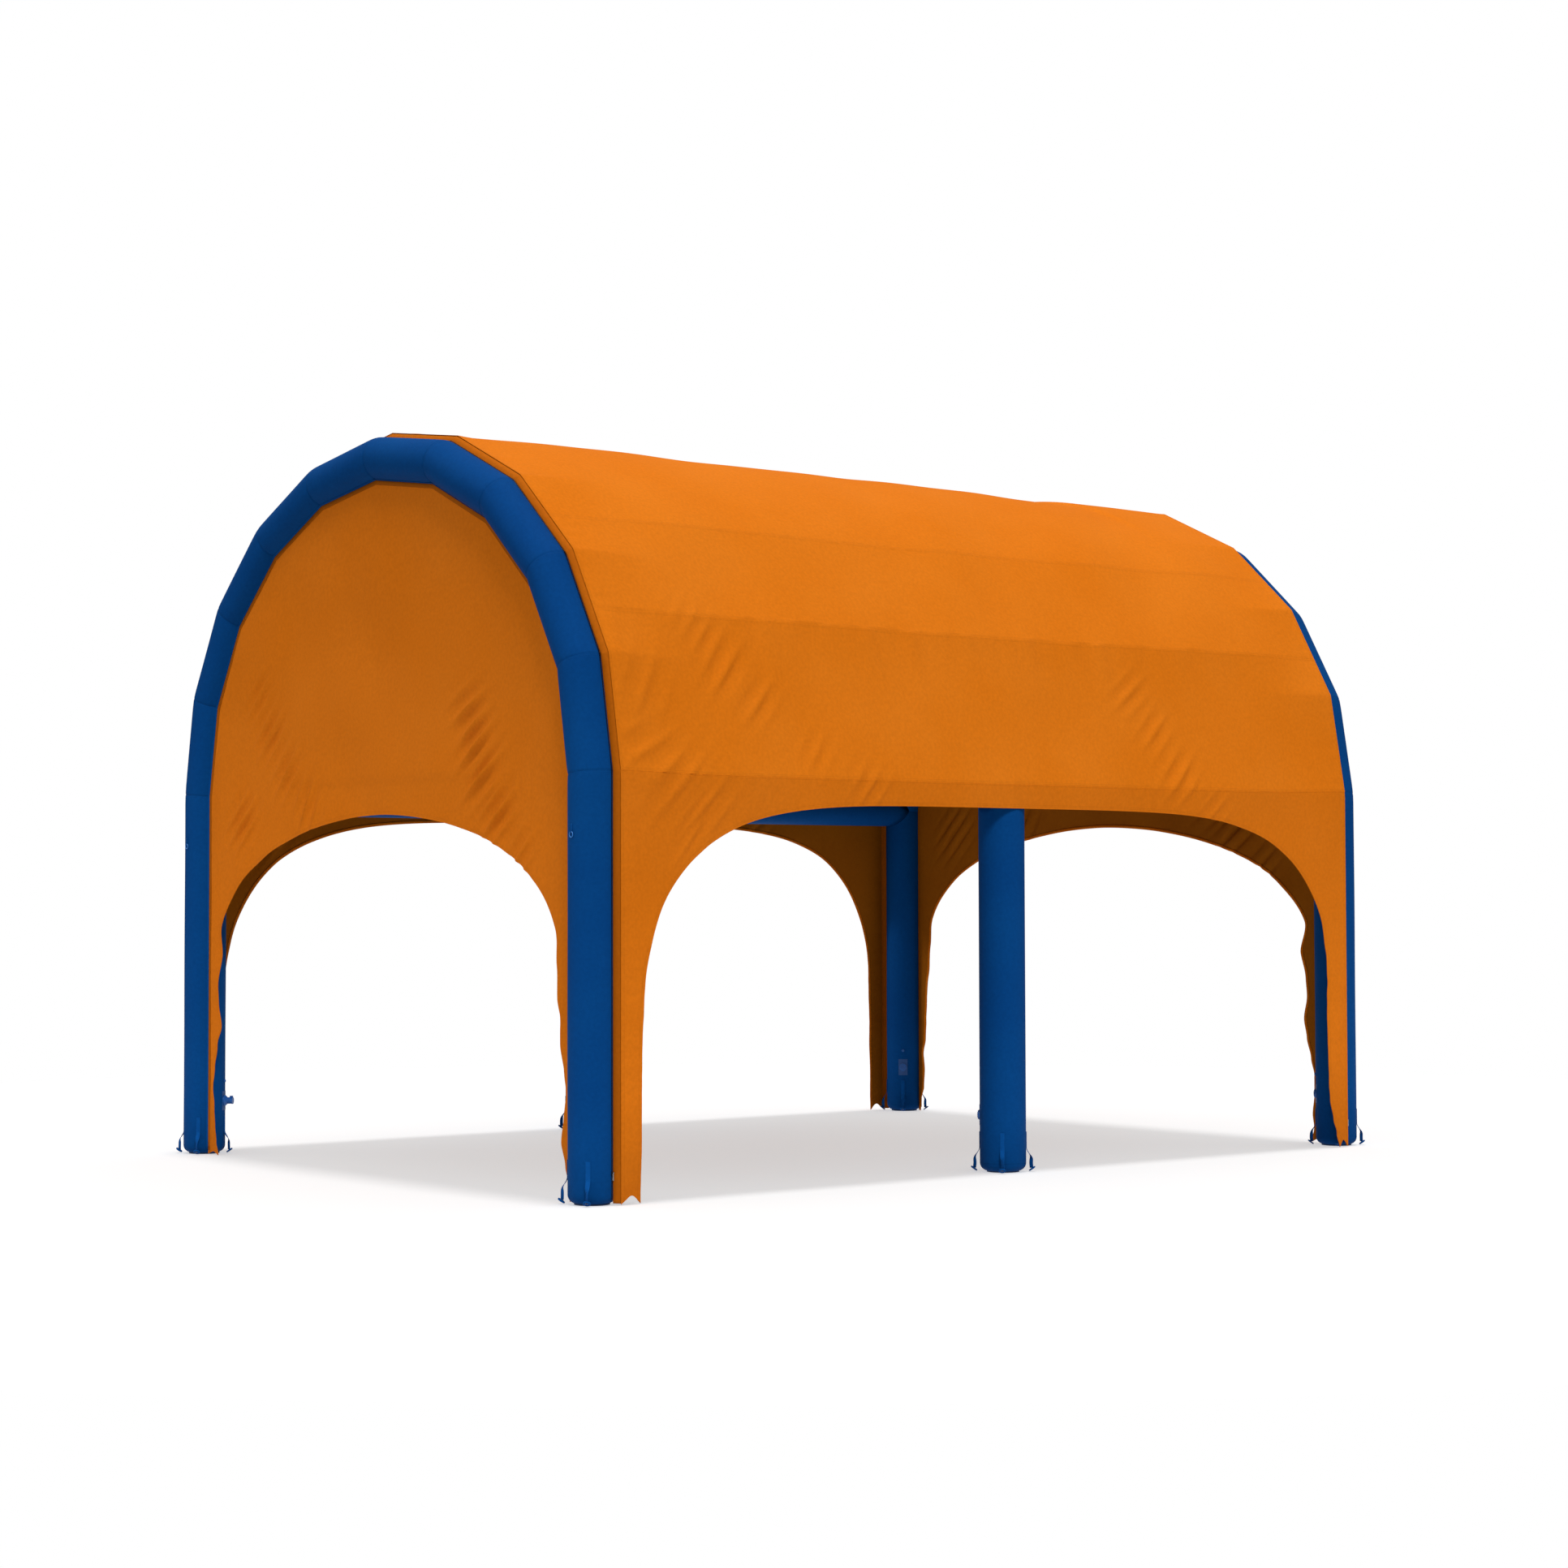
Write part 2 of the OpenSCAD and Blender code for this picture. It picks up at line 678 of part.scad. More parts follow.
module relief_valves() {
    color(TUBE_BLUE) each_corner() at_corner_valve(relief_h) {
        translate([0, 0, tube_r + gap]) cylinder(r = 10, h = 4);
        translate([0, 0, tube_r + 3]) cylinder(r = 7, h = 4);
    }
}

// ---- one line per node ----
module left() { mirror([1, 0, 0]) children(); }
module rear() { mirror([0, 1, 0]) children(); }

arch_sleeve();  // front_arch_sleeve
rear() arch_sleeve();  // rear_arch_sleeve
left() beam_sleeve();  // left_beam_sleeve
beam_sleeve();  // right_beam_sleeve
left() post_sleeve();  // left_post_sleeve
post_sleeve();  // right_post_sleeve
arch_bladder();  // front_arch_bladder
rear() arch_bladder();  // rear_arch_bladder
left() beam_bladder();  // left_beam_bladder
beam_bladder();  // right_beam_bladder
left() post_bladder();  // left_post_bladder
post_bladder();  // right_post_bladder
air_hoses();
roof_canopy();
left() side_wall();  // left_side_wall
side_wall();  // right_side_wall
end_wall();  // front_end_wall
rear() end_wall();  // rear_end_wall
canopy_flange();  // front_canopy_flange
rear() canopy_flange();  // rear_canopy_flange
canopy_zip();  // front_canopy_zip
rear() canopy_zip();  // rear_canopy_zip
wall_piping();  // front_wall_piping
rear() wall_piping();  // rear_wall_piping
left() side_binding();  // left_doorway_binding
side_binding();  // right_doorway_binding
end_binding();  // front_doorway_binding
rear() end_binding();  // rear_doorway_binding
wear_pads();
anchor_straps();
peg_tabs();
guy_loops();
left() guy_ring();  // front_left_ring
guy_ring();  // front_right_ring
left() rear() guy_ring();  // rear_left_ring
rear() guy_ring();  // rear_right_ring
left() slider();  // front_left_slider
slider();  // front_right_slider
left() rear() slider();  // rear_left_slider
rear() slider();  // rear_right_slider
left() slider_pull();  // front_left_pull
slider_pull();  // front_right_pull
left() rear() slider_pull();  // rear_left_pull
rear() slider_pull();  // rear_right_pull
inflation_valve();
inflation_plunger();
inflation_cap();
dump_valves();
dump_seals();
valve_patches();
relief_valves();
at_corner_valve(valve_h) dump_cap(tube_r);  // front_right_dump_cap
left() rear() at_corner_valve(valve_h) dump_cap(tube_r);  // rear_left_dump_cap
rear() at_corner_valve(valve_h) dump_cap(tube_r);  // rear_right_dump_cap
left() at_post_valve(valve_h) dump_cap(post_r);  // left_post_dump_cap
at_post_valve(valve_h) dump_cap(post_r);  // right_post_dump_cap
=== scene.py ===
"""Air-beam shelter: inflated blue arches, beams and posts carry an orange barrel canopy with four doorways.

Metres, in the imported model's own frame: +X across, +Y from the front arch to the rear arch, +Z up, and the
origin on the ground. The right side is +X and the front is -Y. Each cloth is a surface of two parameters,
with its folds added along its own outward direction.
"""
import math

import bpy
import numpy as np
from mathutils import Matrix


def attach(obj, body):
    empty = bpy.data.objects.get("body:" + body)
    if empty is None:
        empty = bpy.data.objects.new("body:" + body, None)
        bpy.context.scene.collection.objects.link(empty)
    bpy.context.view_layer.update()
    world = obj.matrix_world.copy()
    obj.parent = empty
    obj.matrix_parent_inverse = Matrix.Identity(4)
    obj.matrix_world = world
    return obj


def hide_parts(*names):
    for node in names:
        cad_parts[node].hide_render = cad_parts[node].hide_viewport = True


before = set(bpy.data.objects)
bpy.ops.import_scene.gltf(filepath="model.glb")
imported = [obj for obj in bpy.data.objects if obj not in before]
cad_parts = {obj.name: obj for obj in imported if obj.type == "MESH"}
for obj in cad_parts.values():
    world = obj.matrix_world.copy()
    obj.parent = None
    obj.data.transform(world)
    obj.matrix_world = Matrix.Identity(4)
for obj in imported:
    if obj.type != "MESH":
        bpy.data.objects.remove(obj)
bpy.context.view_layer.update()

# ---- sizes of the frame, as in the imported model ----
LEG_X = 2.05             # legs' centre lines, from the middle
ARCH_Y = 2.85            # arches' centre lines, from the middle
EAVE = 2.19
RISE = 1.845
TUBE_R = 0.125
BEAM_R = 0.11697
POST_R = 0.131
FOOT_Z = 0.0063          # underside of a leg, on its wear pad
FOOT_CORNER = 0.045
BLADDER_IN = 0.0035      # a bladder's skin inside its sleeve's
CANOPY_OUT = 0.153       # canopy's outer face, from the tubes' centre lines
CANOPY_Y = ARCH_Y - 0.070
WALL_SET = 0.035         # end wall's middle, outside an arch's centre line
WALL_Y = ARCH_Y + WALL_SET + 0.0015
HEM_Z = 0.004            # lower edge of the cloth
WALL_IN = 0.1211         # end wall's edge, inward from an arch's centre line
ZIP_ANGLE = math.radians(17)
ZIP_LOW = TUBE_R + 0.0008
PIPING_ANGLE = math.pi / 2 + math.acos(WALL_SET / TUBE_R)
STRAP_W = 0.025
TAB_LEAN = math.radians(35)
TAB_REACH = 0.033
TAB_Z = 0.0173
RING_Z = 1.890
RING_OFF = 0.0053        # a guy ring's hinge, from the leg's surface
CLOTH = 0.0022           # thickness of the canopy and walls
LAP = 0.012              # how far a side wall's top edge is lapped under the canopy

# Doorway outlines: half width, height of the straight jambs, full height, and the two powers of the curve.
SIDE_DOOR = (2.665, 0.455, 2.055, 5.0, 3.2)
END_DOOR = (1.860, 0.640, 2.025, 1.8, 4.1)

# Lengthwise seams of the canopy, in degrees round the arch from the right eave.
CREASES = (0.0, 25.5, 44.0, 136.0, 154.5, 180.0)


# ---- mesh building ----
def surface(name, points, uv, wrap_rows=False, wrap_columns=False, pole_start=False, pole_end=False, flip=False,
            attributes=None):
    """Mesh over a grid: points[i, j] joined in quads, with the last row or column welded to the first where it
    wraps and a pole's whole row welded to one point. uv[i, j] is in metres along the surface."""
    rows, columns = points.shape[:2]
    weld = np.arange(rows * columns).reshape(rows, columns)
    if wrap_rows:
        weld[-1] = weld[0]
    if wrap_columns:
        weld[:, -1] = weld[:, 0]
    if pole_start:
        weld[0] = weld[0, 0]
    if pole_end:
        weld[-1] = weld[-1, 0]
    i, j = np.meshgrid(np.arange(rows - 1), np.arange(columns - 1), indexing="ij")
    first = i * columns + j
    corner = np.stack([first, first + columns, first + columns + 1, first + 1], -1).reshape(-1, 4)
    face = weld.reshape(-1)[corner]
    keep = np.ones(face.shape, bool)
    keep[:, 3] = face[:, 3] != face[:, 0]
    keep[:, 2] = face[:, 2] != face[:, 1]
    if flip:
        corner, face, keep = corner[:, ::-1], face[:, ::-1], keep[:, ::-1]
    used, loops = np.unique(face[keep], return_inverse=True)
    sizes = keep.sum(1)
    mesh = bpy.data.meshes.new(name)
    mesh.vertices.add(len(used))
    mesh.vertices.foreach_set("co", points.reshape(-1, 3)[used].astype(np.float32).ravel())
    mesh.loops.add(len(loops))
    mesh.loops.foreach_set("vertex_index", loops.ravel().astype(np.int32))
    mesh.polygons.add(len(sizes))
    mesh.polygons.foreach_set("loop_start", np.concatenate([[0], np.cumsum(sizes)[:-1]]).astype(np.int32))
    mesh.polygons.foreach_set("use_smooth", np.ones(len(sizes), bool))
    mesh.update(calc_edges=True)
    layer = mesh.uv_layers.new(name="UVMap")
    layer.data.foreach_set("uv", uv.reshape(-1, 2)[corner[keep]].astype(np.float32).ravel())
    for key, value in (attributes or {}).items():
        layer = mesh.attributes.new(key, "FLOAT", "POINT")
        layer.data.foreach_set("value", value.reshape(-1)[used].astype(np.float32))
    return mesh


def piece(name, mesh, finish, nodes=(), thick=0.0, inner=None):
    """Object for a mesh that rides on the frame, stands for the named CAD nodes and wears one finish. A cloth
    gets its thickness inward from its outer face, and a second finish on its inner face."""
    obj = bpy.data.objects.new(name, mesh)
    bpy.context.scene.collection.objects.link(obj)
    mesh.materials.append(finish)
    if thick:
        uses = np.zeros(len(mesh.loops), np.int32)
        mesh.loops.foreach_get("edge_index", uses)
        border = np.bincount(uses, minlength=len(mesh.edges)) == 1
        mesh.attributes.new("sharp_edge", "BOOLEAN", "EDGE").data.foreach_set("value", border)
        wall = obj.modifiers.new("cloth thickness", "SOLIDIFY")
        wall.thickness = thick
        wall.offset = -1.0
        wall.use_even_offset = False
        if inner:
            mesh.materials.append(inner)
            mesh.polygons.foreach_set("material_index", np.ones(len(mesh.polygons), np.int32))
            wall.material_offset = wall.material_offset_rim = -1
    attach(obj, "frame")
    if nodes:
        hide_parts(*nodes)
    return obj


def joined(name, meshes):
    """One mesh from several, with their UV maps kept."""
    objs = [bpy.data.objects.new(f"{name}_{i}", m) for i, m in enumerate(meshes)]
    for o in objs:
        bpy.context.scene.collection.objects.link(o)
    with bpy.context.temp_override(active_object=objs[0], object=objs[0], selected_objects=objs,
                                   selected_editable_objects=objs):
        bpy.ops.object.join()
    mesh = objs[0].data
    bpy.data.objects.remove(objs[0])
    mesh.name = name
    return mesh


def closed_ends(points, uv):
    """A closed strip's grid with one more row at each end, all of it at the middle of the end's outline."""
    middle = [row.mean(1, keepdims=True).repeat(points.shape[1], 1) for row in (points[:1], points[-1:])]
    return np.concatenate([middle[0], points, middle[1]]), np.concatenate([uv[:1], uv, uv[-1:]])


def mirrored(mesh, x=1, y=1):
    """Copy of a mesh mirrored in X, in Y or in both, with its faces still pointing outwards."""
    copy = mesh.copy()
    copy.transform(Matrix.Diagonal((x, y, 1, 1)))
    if x * y < 0:
        copy.flip_normals()
    return copy


def smooth(x):
    """Rises from 0 to 1 as x does, level at both ends."""
    x = np.clip(x, 0, 1)
    return x * x * (3 - 2 * x)


def ripple(x, seed, low, high, terms=9):
    """Irregular wave of x, about 1 high: cosines with wavelengths from low to high and seeded phases."""
    rng = np.random.default_rng(seed)
    waves = np.geomspace(low, high, terms)
    turn = rng.uniform(0, 2 * np.pi, terms)
    return sum(np.cos(2 * np.pi * x / w + t) for w, t in zip(waves, turn)) / math.sqrt(terms / 2)


def cloud(u, v, seed, low, high, terms=14):
    """Irregular swell over (u, v), about 1 high: plane cosines in seeded directions and wavelengths."""
    rng = np.random.default_rng(seed)
    angle, turn = rng.uniform(0, np.pi, terms), rng.uniform(0, 2 * np.pi, terms)
    size = np.geomspace(low, high, terms)
    return sum(np.cos(2 * np.pi * (u * math.cos(a) + v * math.sin(a)) / w + t)
               for a, w, t in zip(angle, size, turn)) / math.sqrt(terms / 2)


def folds(u, v, places):
    """Height of short folds at (u, v). Each place is (centre u, centre v, direction in degrees, pitch, half
    length, half width, height): narrow ridges across the direction, exp(1.5 (cosine - 1)) less its mean, faded
    along and across it by bell curves."""
    height = np.zeros(np.broadcast(u, v).shape)
    for cu, cv, direction, pitch, length, width, rise in places:
        c, s = math.cos(math.radians(direction)), math.sin(math.radians(direction))
        along = (u - cu) * c + (v - cv) * s
        across = (v - cv) * c - (u - cu) * s
        ridge = np.exp(1.5 * (np.cos(2 * np.pi * across / pitch) - 1)) - 0.367
        height += rise * 1.6 * ridge * np.exp(-(along / length) ** 2 - (across / width) ** 2)
    return height


# ---- the arch's centre line ----
turns = np.radians(18.0 * np.arange(11))
over_top = np.stack([LEG_X * np.cos(turns), EAVE + RISE * np.sin(turns)], 1)
PATH = np.array([[LEG_X, 0.0], *over_top, [-LEG_X, 0.0]])
RUN = np.diff(PATH, axis=0)
RUN_L = np.linalg.norm(RUN, axis=1)
RUN /= RUN_L[:, None]
OUT = np.stack([RUN[:, 1], -RUN[:, 0]], 1)
MITRE = np.vstack([OUT[:1], (OUT[:-1] + OUT[1:]) / (1 + (OUT[:-1] * OUT[1:]).sum(1))[:, None], OUT[-1:]])
STATION_L = np.concatenate([[0.0], np.cumsum(RUN_L)])


def along_arch(station, a, b):
    """Points beside the front arch's centre line: station counts its straight runs from the right foot, a is
    the distance outward and b the distance along the shelter. On each run the point moves on the straight line
    between the mitre planes at its ends."""
    k = np.clip(np.floor(station).astype(int), 0, len(RUN) - 1)
    t = (station - k)[..., None]
    a = np.asarray(a)[..., None]
    flat = (1 - t) * (PATH[k] + a * MITRE[k]) + t * (PATH[k + 1] + a * MITRE[k + 1])
    y = np.broadcast_to(-ARCH_Y + np.asarray(b), flat.shape[:-1])
    return np.stack([flat[..., 0], y, flat[..., 1]], -1)


def stations(steps, foot):
    """Stations with steps from each mitre (in metres) on both sides of it, and from foot metres up each leg."""
    found = []
    for k, length in enumerate(RUN_L):
        d = np.array([s for s in steps if s < length / 2])
        whole = np.unique(np.concatenate([d, length - d]))
        if k == 0:
            whole = whole[whole > foot]
            whole = np.concatenate([[foot], whole])
        if k == len(RUN_L) - 1:
            whole = whole[whole < length - foot]
            whole = np.concatenate([whole, [length - foot]])
        found.append(k + whole / length)
    return np.unique(np.round(np.concatenate(found), 7))


def arch_length(station):
    return np.interp(station, np.arange(len(STATION_L)), STATION_L)


# ---- inflated tubes ----
AROUND = 72
PHI = np.linspace(0, 2 * np.pi, AROUND + 1)


def foot_radius(z, radius, corner):
    """Radius of a leg z above its underside: a quarter circle of the corner's radius, then straight."""
    return radius - corner + np.sqrt(np.maximum(corner ** 2 - np.clip(corner - z, 0, corner) ** 2, 0))


def foot_heights(corner):
    return corner * (1 - np.cos(np.linspace(0, np.pi / 2, 9)))


def arch_tube(radius, underside, corner, drawn):
    """Skin of the front arch: a round tube whose rings lie square on each straight run and on the mitre plane
    at its ends. Each mitre is drawn in by a narrow bell curve at its stitching, with puckers that fade away
    from it and are strongest on the inside of the bend. The feet are rounded and closed."""
    near = [0, 0.002, 0.004, 0.007, 0.011, 0.017, 0.026, 0.038, 0.055, 0.08, 0.11, 0.15, 0.2, 0.26]
    near += list(np.arange(0.34, 1.2, 0.09))
    mid = stations(near, underside + corner + 0.02)
    low = (underside + foot_heights(corner)) / RUN_L[0]
    top = len(RUN_L)
    station = np.concatenate([low[:1], low, mid, top - low[::-1], top - low[:1]])
    z = np.minimum(station, top - station) * RUN_L[0] - underside
    ring = np.where(z < corner, foot_radius(z, radius, corner), radius)
    ring[0] = ring[-1] = 0.0
    length = arch_length(station)
    joints = STATION_L[1:-1]
    gap = np.abs(length[:, None] - joints[None]).min(1)
    which = np.abs(length[:, None] - joints[None]).argmin(1)
    phase = np.random.default_rng(11).uniform(0, 2 * np.pi, (len(joints), 3))
    inside = 0.35 + 0.65 * (1 - np.cos(PHI)) / 2
    pucker = sum(np.cos(n * PHI[None] + phase[which, i][:, None]) for i, n in enumerate((13, 22, 37))) / 3
    bell = np.exp(-(gap / 0.006) ** 2)[:, None] * 0.0022 + np.exp(-(gap / 0.035) ** 2)[:, None] * 0.0014
    fade = np.exp(-gap / 0.055) * (1 - np.exp(-(gap / 0.008) ** 2))
    crumple = 0.0026 * pucker * inside[None] * fade[:, None]
    swell = 0.0006 * np.cos(2 * PHI[None] + length[:, None] * 5)
    rho = ring[:, None] + drawn * (crumple - bell + swell) * (ring[:, None] > radius * 0.9)
    a, b = rho * np.cos(PHI)[None], rho * np.sin(PHI)[None]
    points = along_arch(np.broadcast_to(station[:, None], a.shape), a, b)
    uv = np.stack(np.broadcast_arrays(PHI[None] * radius, length[:, None]), -1)
    seam = np.broadcast_to(gap[:, None], a.shape)
    return surface("arch", points, uv, wrap_columns=True, pole_start=True, pole_end=True, flip=True,
                   attributes={"seam": seam})


def beam_tube(radius, clear, saddle=True):
    """Right eave beam: a round tube along Y whose two ends are saddles that fit the arches' legs, or its
    lining, whose ends are flat."""
    across = np.cos(PHI)[None] * radius
    up = np.sin(PHI)[None] * radius
    reach = np.concatenate([[0, 0.35, 0.7, 0.9], np.ones(61), [0.9, 0.7, 0.35, 0]])[:, None]
    t = np.concatenate([np.zeros(4), np.linspace(0, 1, 61), np.ones(4)])[:, None]
    x, z = reach * across, reach * up
    lean = x + np.maximum(z, 0) * math.tan(math.radians(9.98))
    end = ARCH_Y - np.sqrt(np.maximum((TUBE_R + clear) ** 2 - lean ** 2 * saddle, 0.0009))
    y = (2 * t - 1) * end
    gap = end - np.abs(y)
    gap = np.minimum(gap, np.abs(np.abs(y) - 0.14))
    bulge = 1 - 0.006 * np.exp(-(gap / 0.02) ** 2) * (reach == 1)
    points = np.stack(np.broadcast_arrays(LEG_X + x * bulge, y, EAVE + z * bulge), -1)
    uv = np.stack(np.broadcast_arrays(PHI[None] * radius, y), -1)
    return surface("beam", points, uv, wrap_columns=True, pole_start=True, pole_end=True,
                   attributes={"seam": np.broadcast_to(gap, points.shape[:2])})


def post_tube(radius, underside, corner, clear):
    """Right middle post: a round leg with a rounded foot, whose top is a saddle that fits under the beam."""
    low = foot_heights(corner)
    span = np.linspace(0, 1, 40)[1:]
    z = np.concatenate([[0], low, [corner] * 39, [corner] * 4])[:, None]
    t = np.concatenate([[0], np.zeros(len(low)), span, np.ones(4)])[:, None]
    ring = foot_radius(z, radius, corner)
    ring[0] = 0
    ring[-4:, 0] = radius * np.array([0.9, 0.6, 0.3, 0])
    x, y = ring * np.cos(PHI)[None], ring * np.sin(PHI)[None]
    head = EAVE - np.sqrt(np.maximum((BEAM_R + clear) ** 2 - x ** 2, 0.0036))
    height = underside + z + t * (head - underside - corner)
    points = np.stack(np.broadcast_arrays(LEG_X + x, y, height), -1)
    uv = np.stack(np.broadcast_arrays(PHI[None] * radius, height), -1)
    gap = np.minimum(np.abs(head - height), np.abs(height - 0.06))
    return surface("post", points, uv, wrap_columns=True, pole_start=True, pole_end=True,
                   attributes={"seam": gap})


# ---- canopy ----
def ellipse(t, out):
    """Point and outward direction, both (x, z), on the smooth arch curve at t degrees, moved out."""
    r = np.radians(t)
    point = np.stack([LEG_X * np.cos(r), EAVE + RISE * np.sin(r)], -1)
    normal = np.stack([np.cos(r) / LEG_X, np.sin(r) / RISE], -1)
    normal /= np.linalg.norm(normal, axis=-1, keepdims=True)
    return point + out * normal, normal


def between(t, marks, corners):
    """Straight lines between corners, at t on the scale of marks."""
    return np.stack([np.interp(t, marks, corners[:, 0]), np.interp(t, marks, corners[:, 1])], -1)


ARC_T = np.linspace(0, 180, 721)
ARC_S = np.concatenate([[0], np.cumsum(np.linalg.norm(np.diff(ellipse(ARC_T, CANOPY_OUT)[0], axis=0), axis=1))])

SLOPE_FOLD, WALL_FOLD = 2.8, 4.8    # fullness of the short folds on the slopes and on the end walls

# Folds on the canopy's right slope: place along the shelter, metres of cloth above the eave, then as in
# folds().
RIGHT_FOLDS = (
    (-2.10, 0.80, 52, 0.095, 0.13, 0.182, 0.0030), (-1.98, 0.60, 50, 0.115, 0.17, 0.111, 0.0052),
    (-1.80, 0.42, 48, 0.105, 0.15, 0.111, 0.0040), (-1.46, 0.14, 55, 0.100, 0.13, 0.111, 0.0030),
    (-1.11, -0.04, 52, 0.095, 0.12, 0.130, 0.0036), (-2.40, -0.07, 44, 0.120, 0.22, 0.156, 0.0046),
    (-2.24, -0.16, 46, 0.115, 0.20, 0.143, 0.0046), (-2.33, -0.33, 52, 0.100, 0.14, 0.104, 0.0030),
    (-2.56, 0.47, 62, 0.150, 0.20, 0.156, 0.0030), (-2.60, 0.12, 30, 0.140, 0.18, 0.143, 0.0030),
    (1.05, 0.60, 36, 0.100, 0.16, 0.098, 0.0036), (1.20, 0.36, 42, 0.100, 0.15, 0.111, 0.0036),
    (1.34, 0.08, 44, 0.105, 0.16, 0.124, 0.0048), (1.62, -0.12, 40, 0.090, 0.12, 0.104, 0.0026),
    (-1.00, 1.76, -33, 0.060, 0.33, 0.085, 0.0018), (-0.60, 1.66, -22, 0.055, 0.33, 0.055, 0.0015),
    (0.16, 1.80, -40, 0.065, 0.33, 0.100, 0.0019), (0.42, 1.70, -30, 0.055, 0.24, 0.060, 0.0014),
)


def canopy_folds(y, s):
    """Folds of the canopy and side wall, at s metres of cloth above the eave: the short diagonal folds, puckers
    that hang from the strong seam, fine puckers along the eave and the arches, and a slow swell."""
    seam_s = np.interp(CREASES[1], ARC_T, ARC_S)
    below = np.clip(seam_s - s, 0, None)
    hang = ripple(y, 3, 0.15, 0.6) * 0.0030 * (s <= seam_s + 0.001) * np.exp(-(below / 0.26) ** 2)
    hang *= smooth((2.5 - np.abs(y + 0.4)) / 0.5)
    eave = 0.0007 * ripple(y, 5, 0.05, 0.16) * np.exp(-(s / 0.035) ** 2)
    edge = np.clip(CANOPY_Y - np.abs(y), 0, None)
    laced = 0.0016 * ripple(s, 7, 0.07, 0.3) * np.exp(-edge / 0.09)
    held = 1 - np.exp(-(edge / 0.035) ** 2)
    swell = 0.0034 * cloud(y, s, 9, 0.6, 1.9)
    return held * (SLOPE_FOLD * folds(y, s, RIGHT_FOLDS) + hang + eave + laced + swell)


def canopy_point(t, y, mirror=1):
    """Outer face of the canopy at t degrees round the arch and y along it. At the arches it follows their
    straight runs, and between them it hangs from its seams: flat strips between the lower seams, a smooth
    curve over the crown, all drawn in towards the middle of the bay. The left slope carries the same
    kinds of folds in other places."""
    near = np.minimum(t, 180 - t)
    smooth_curve, normal = ellipse(t, CANOPY_OUT)
    run_marks = 18.0 * np.arange(11)
    facets = between(t, run_marks, PATH[1:-1] + CANOPY_OUT * MITRE[1:-1])
    corners = ellipse(np.array(CREASES), CANOPY_OUT)[0]
    strips = between(t, np.array(CREASES), corners)
    hold = np.where(near < CREASES[1], 0.92, 0.72) * (near < CREASES[2])
    hung = hold[..., None] * strips + (1 - hold[..., None]) * smooth_curve
    edge = CANOPY_Y - np.abs(y)
    tied = np.exp(-(edge / 0.42) ** 2)[..., None]
    base = tied * facets + (1 - tied) * hung
    bow = 1 - (y / CANOPY_Y) ** 2
    draw = np.interp(near, [0, 12, 26, 44, 70, 90], [0.014, 0.026, 0.038, 0.030, 0.014, 0.010]) * bow
    dip = 0.020 * smooth((1.6 - edge) / 0.8) * smooth((edge - 0.66) / 0.07) * smooth((near - 50) / 30) * (y > 0)
    s = np.interp(near, ARC_T, ARC_S)
    right = canopy_folds(y, s)
    left = canopy_folds(0.35 - y * 0.93, s)
    mix = smooth((t - 70) / 40)
    flat = base + ((1 - mix) * right + mix * left - draw - dip)[..., None] * normal
    return np.stack([flat[..., 0], np.broadcast_to(y, flat.shape[:-1]), flat[..., 1]], -1)


def spread_marks(low, high, step, fixed):
    """Even marks about a step apart from low to high that also pass through the fixed ones."""
    stops = [low, *[f for f in fixed if low < f < high], high]
    parts = [np.linspace(a, b, max(2, int(round((b - a) / step)) + 1))[:-1] for a, b in zip(stops, stops[1:])]
    return np.concatenate(parts + [[high]])


def canopy_rows():
    """Marks along the shelter: even, and closer together at the two edges."""
    e = np.array([0, 0.004, 0.010, 0.018, 0.028])
    middle = np.linspace(-CANOPY_Y + 0.04, CANOPY_Y - 0.04, 290)
    return np.concatenate([-CANOPY_Y + e, middle, CANOPY_Y - e[::-1]])


def canopy_panel(low, high, step):
    """One sewn panel of the canopy, from low to high degrees round the arch."""
    fixed = sorted({*CREASES, *(18.0 * np.arange(11))})
    t = spread_marks(low, high, step, fixed)
    y = canopy_rows()
    tt, yy = np.meshgrid(t, y, indexing="ij")
    points = canopy_point(tt, yy)
    s = np.interp(t, ARC_T, ARC_S)
    uv = np.stack(np.meshgrid(s, y, indexing="ij"), -1)
    seams = np.interp([c for c in CREASES if low <= c <= high], ARC_T, ARC_S)
    across = np.abs(s[:, None] - seams[None]).min(1)[:, None]
    seam = np.minimum(across, (CANOPY_Y - np.abs(y))[None])
    return surface("canopy", points, uv, attributes={"seam": np.broadcast_to(seam, tt.shape)})


# ---- doorway edges ----
def doorway_curve(door):
    """Points (across, up) on a doorway's right half, from the ground up its jamb and over to the middle, evenly
    spaced by their length along it: |across / half width| ^ flat + |rise / full rise| ^ round = 1 above the
    jamb."""
    half, spring, top, flat, rounded = door
    a = np.radians(np.linspace(0, 90, 1441))
    arc = np.stack([half * np.cos(a) ** (2 / flat), spring + (top - spring) * np.sin(a) ** (2 / rounded)], -1)
    line = np.vstack([np.stack([np.full(60, half), np.linspace(HEM_Z, spring, 60)], -1)[:-1], arc])
    length = np.concatenate([[0], np.cumsum(np.linalg.norm(np.diff(line, axis=0), axis=1))])
    return line, length


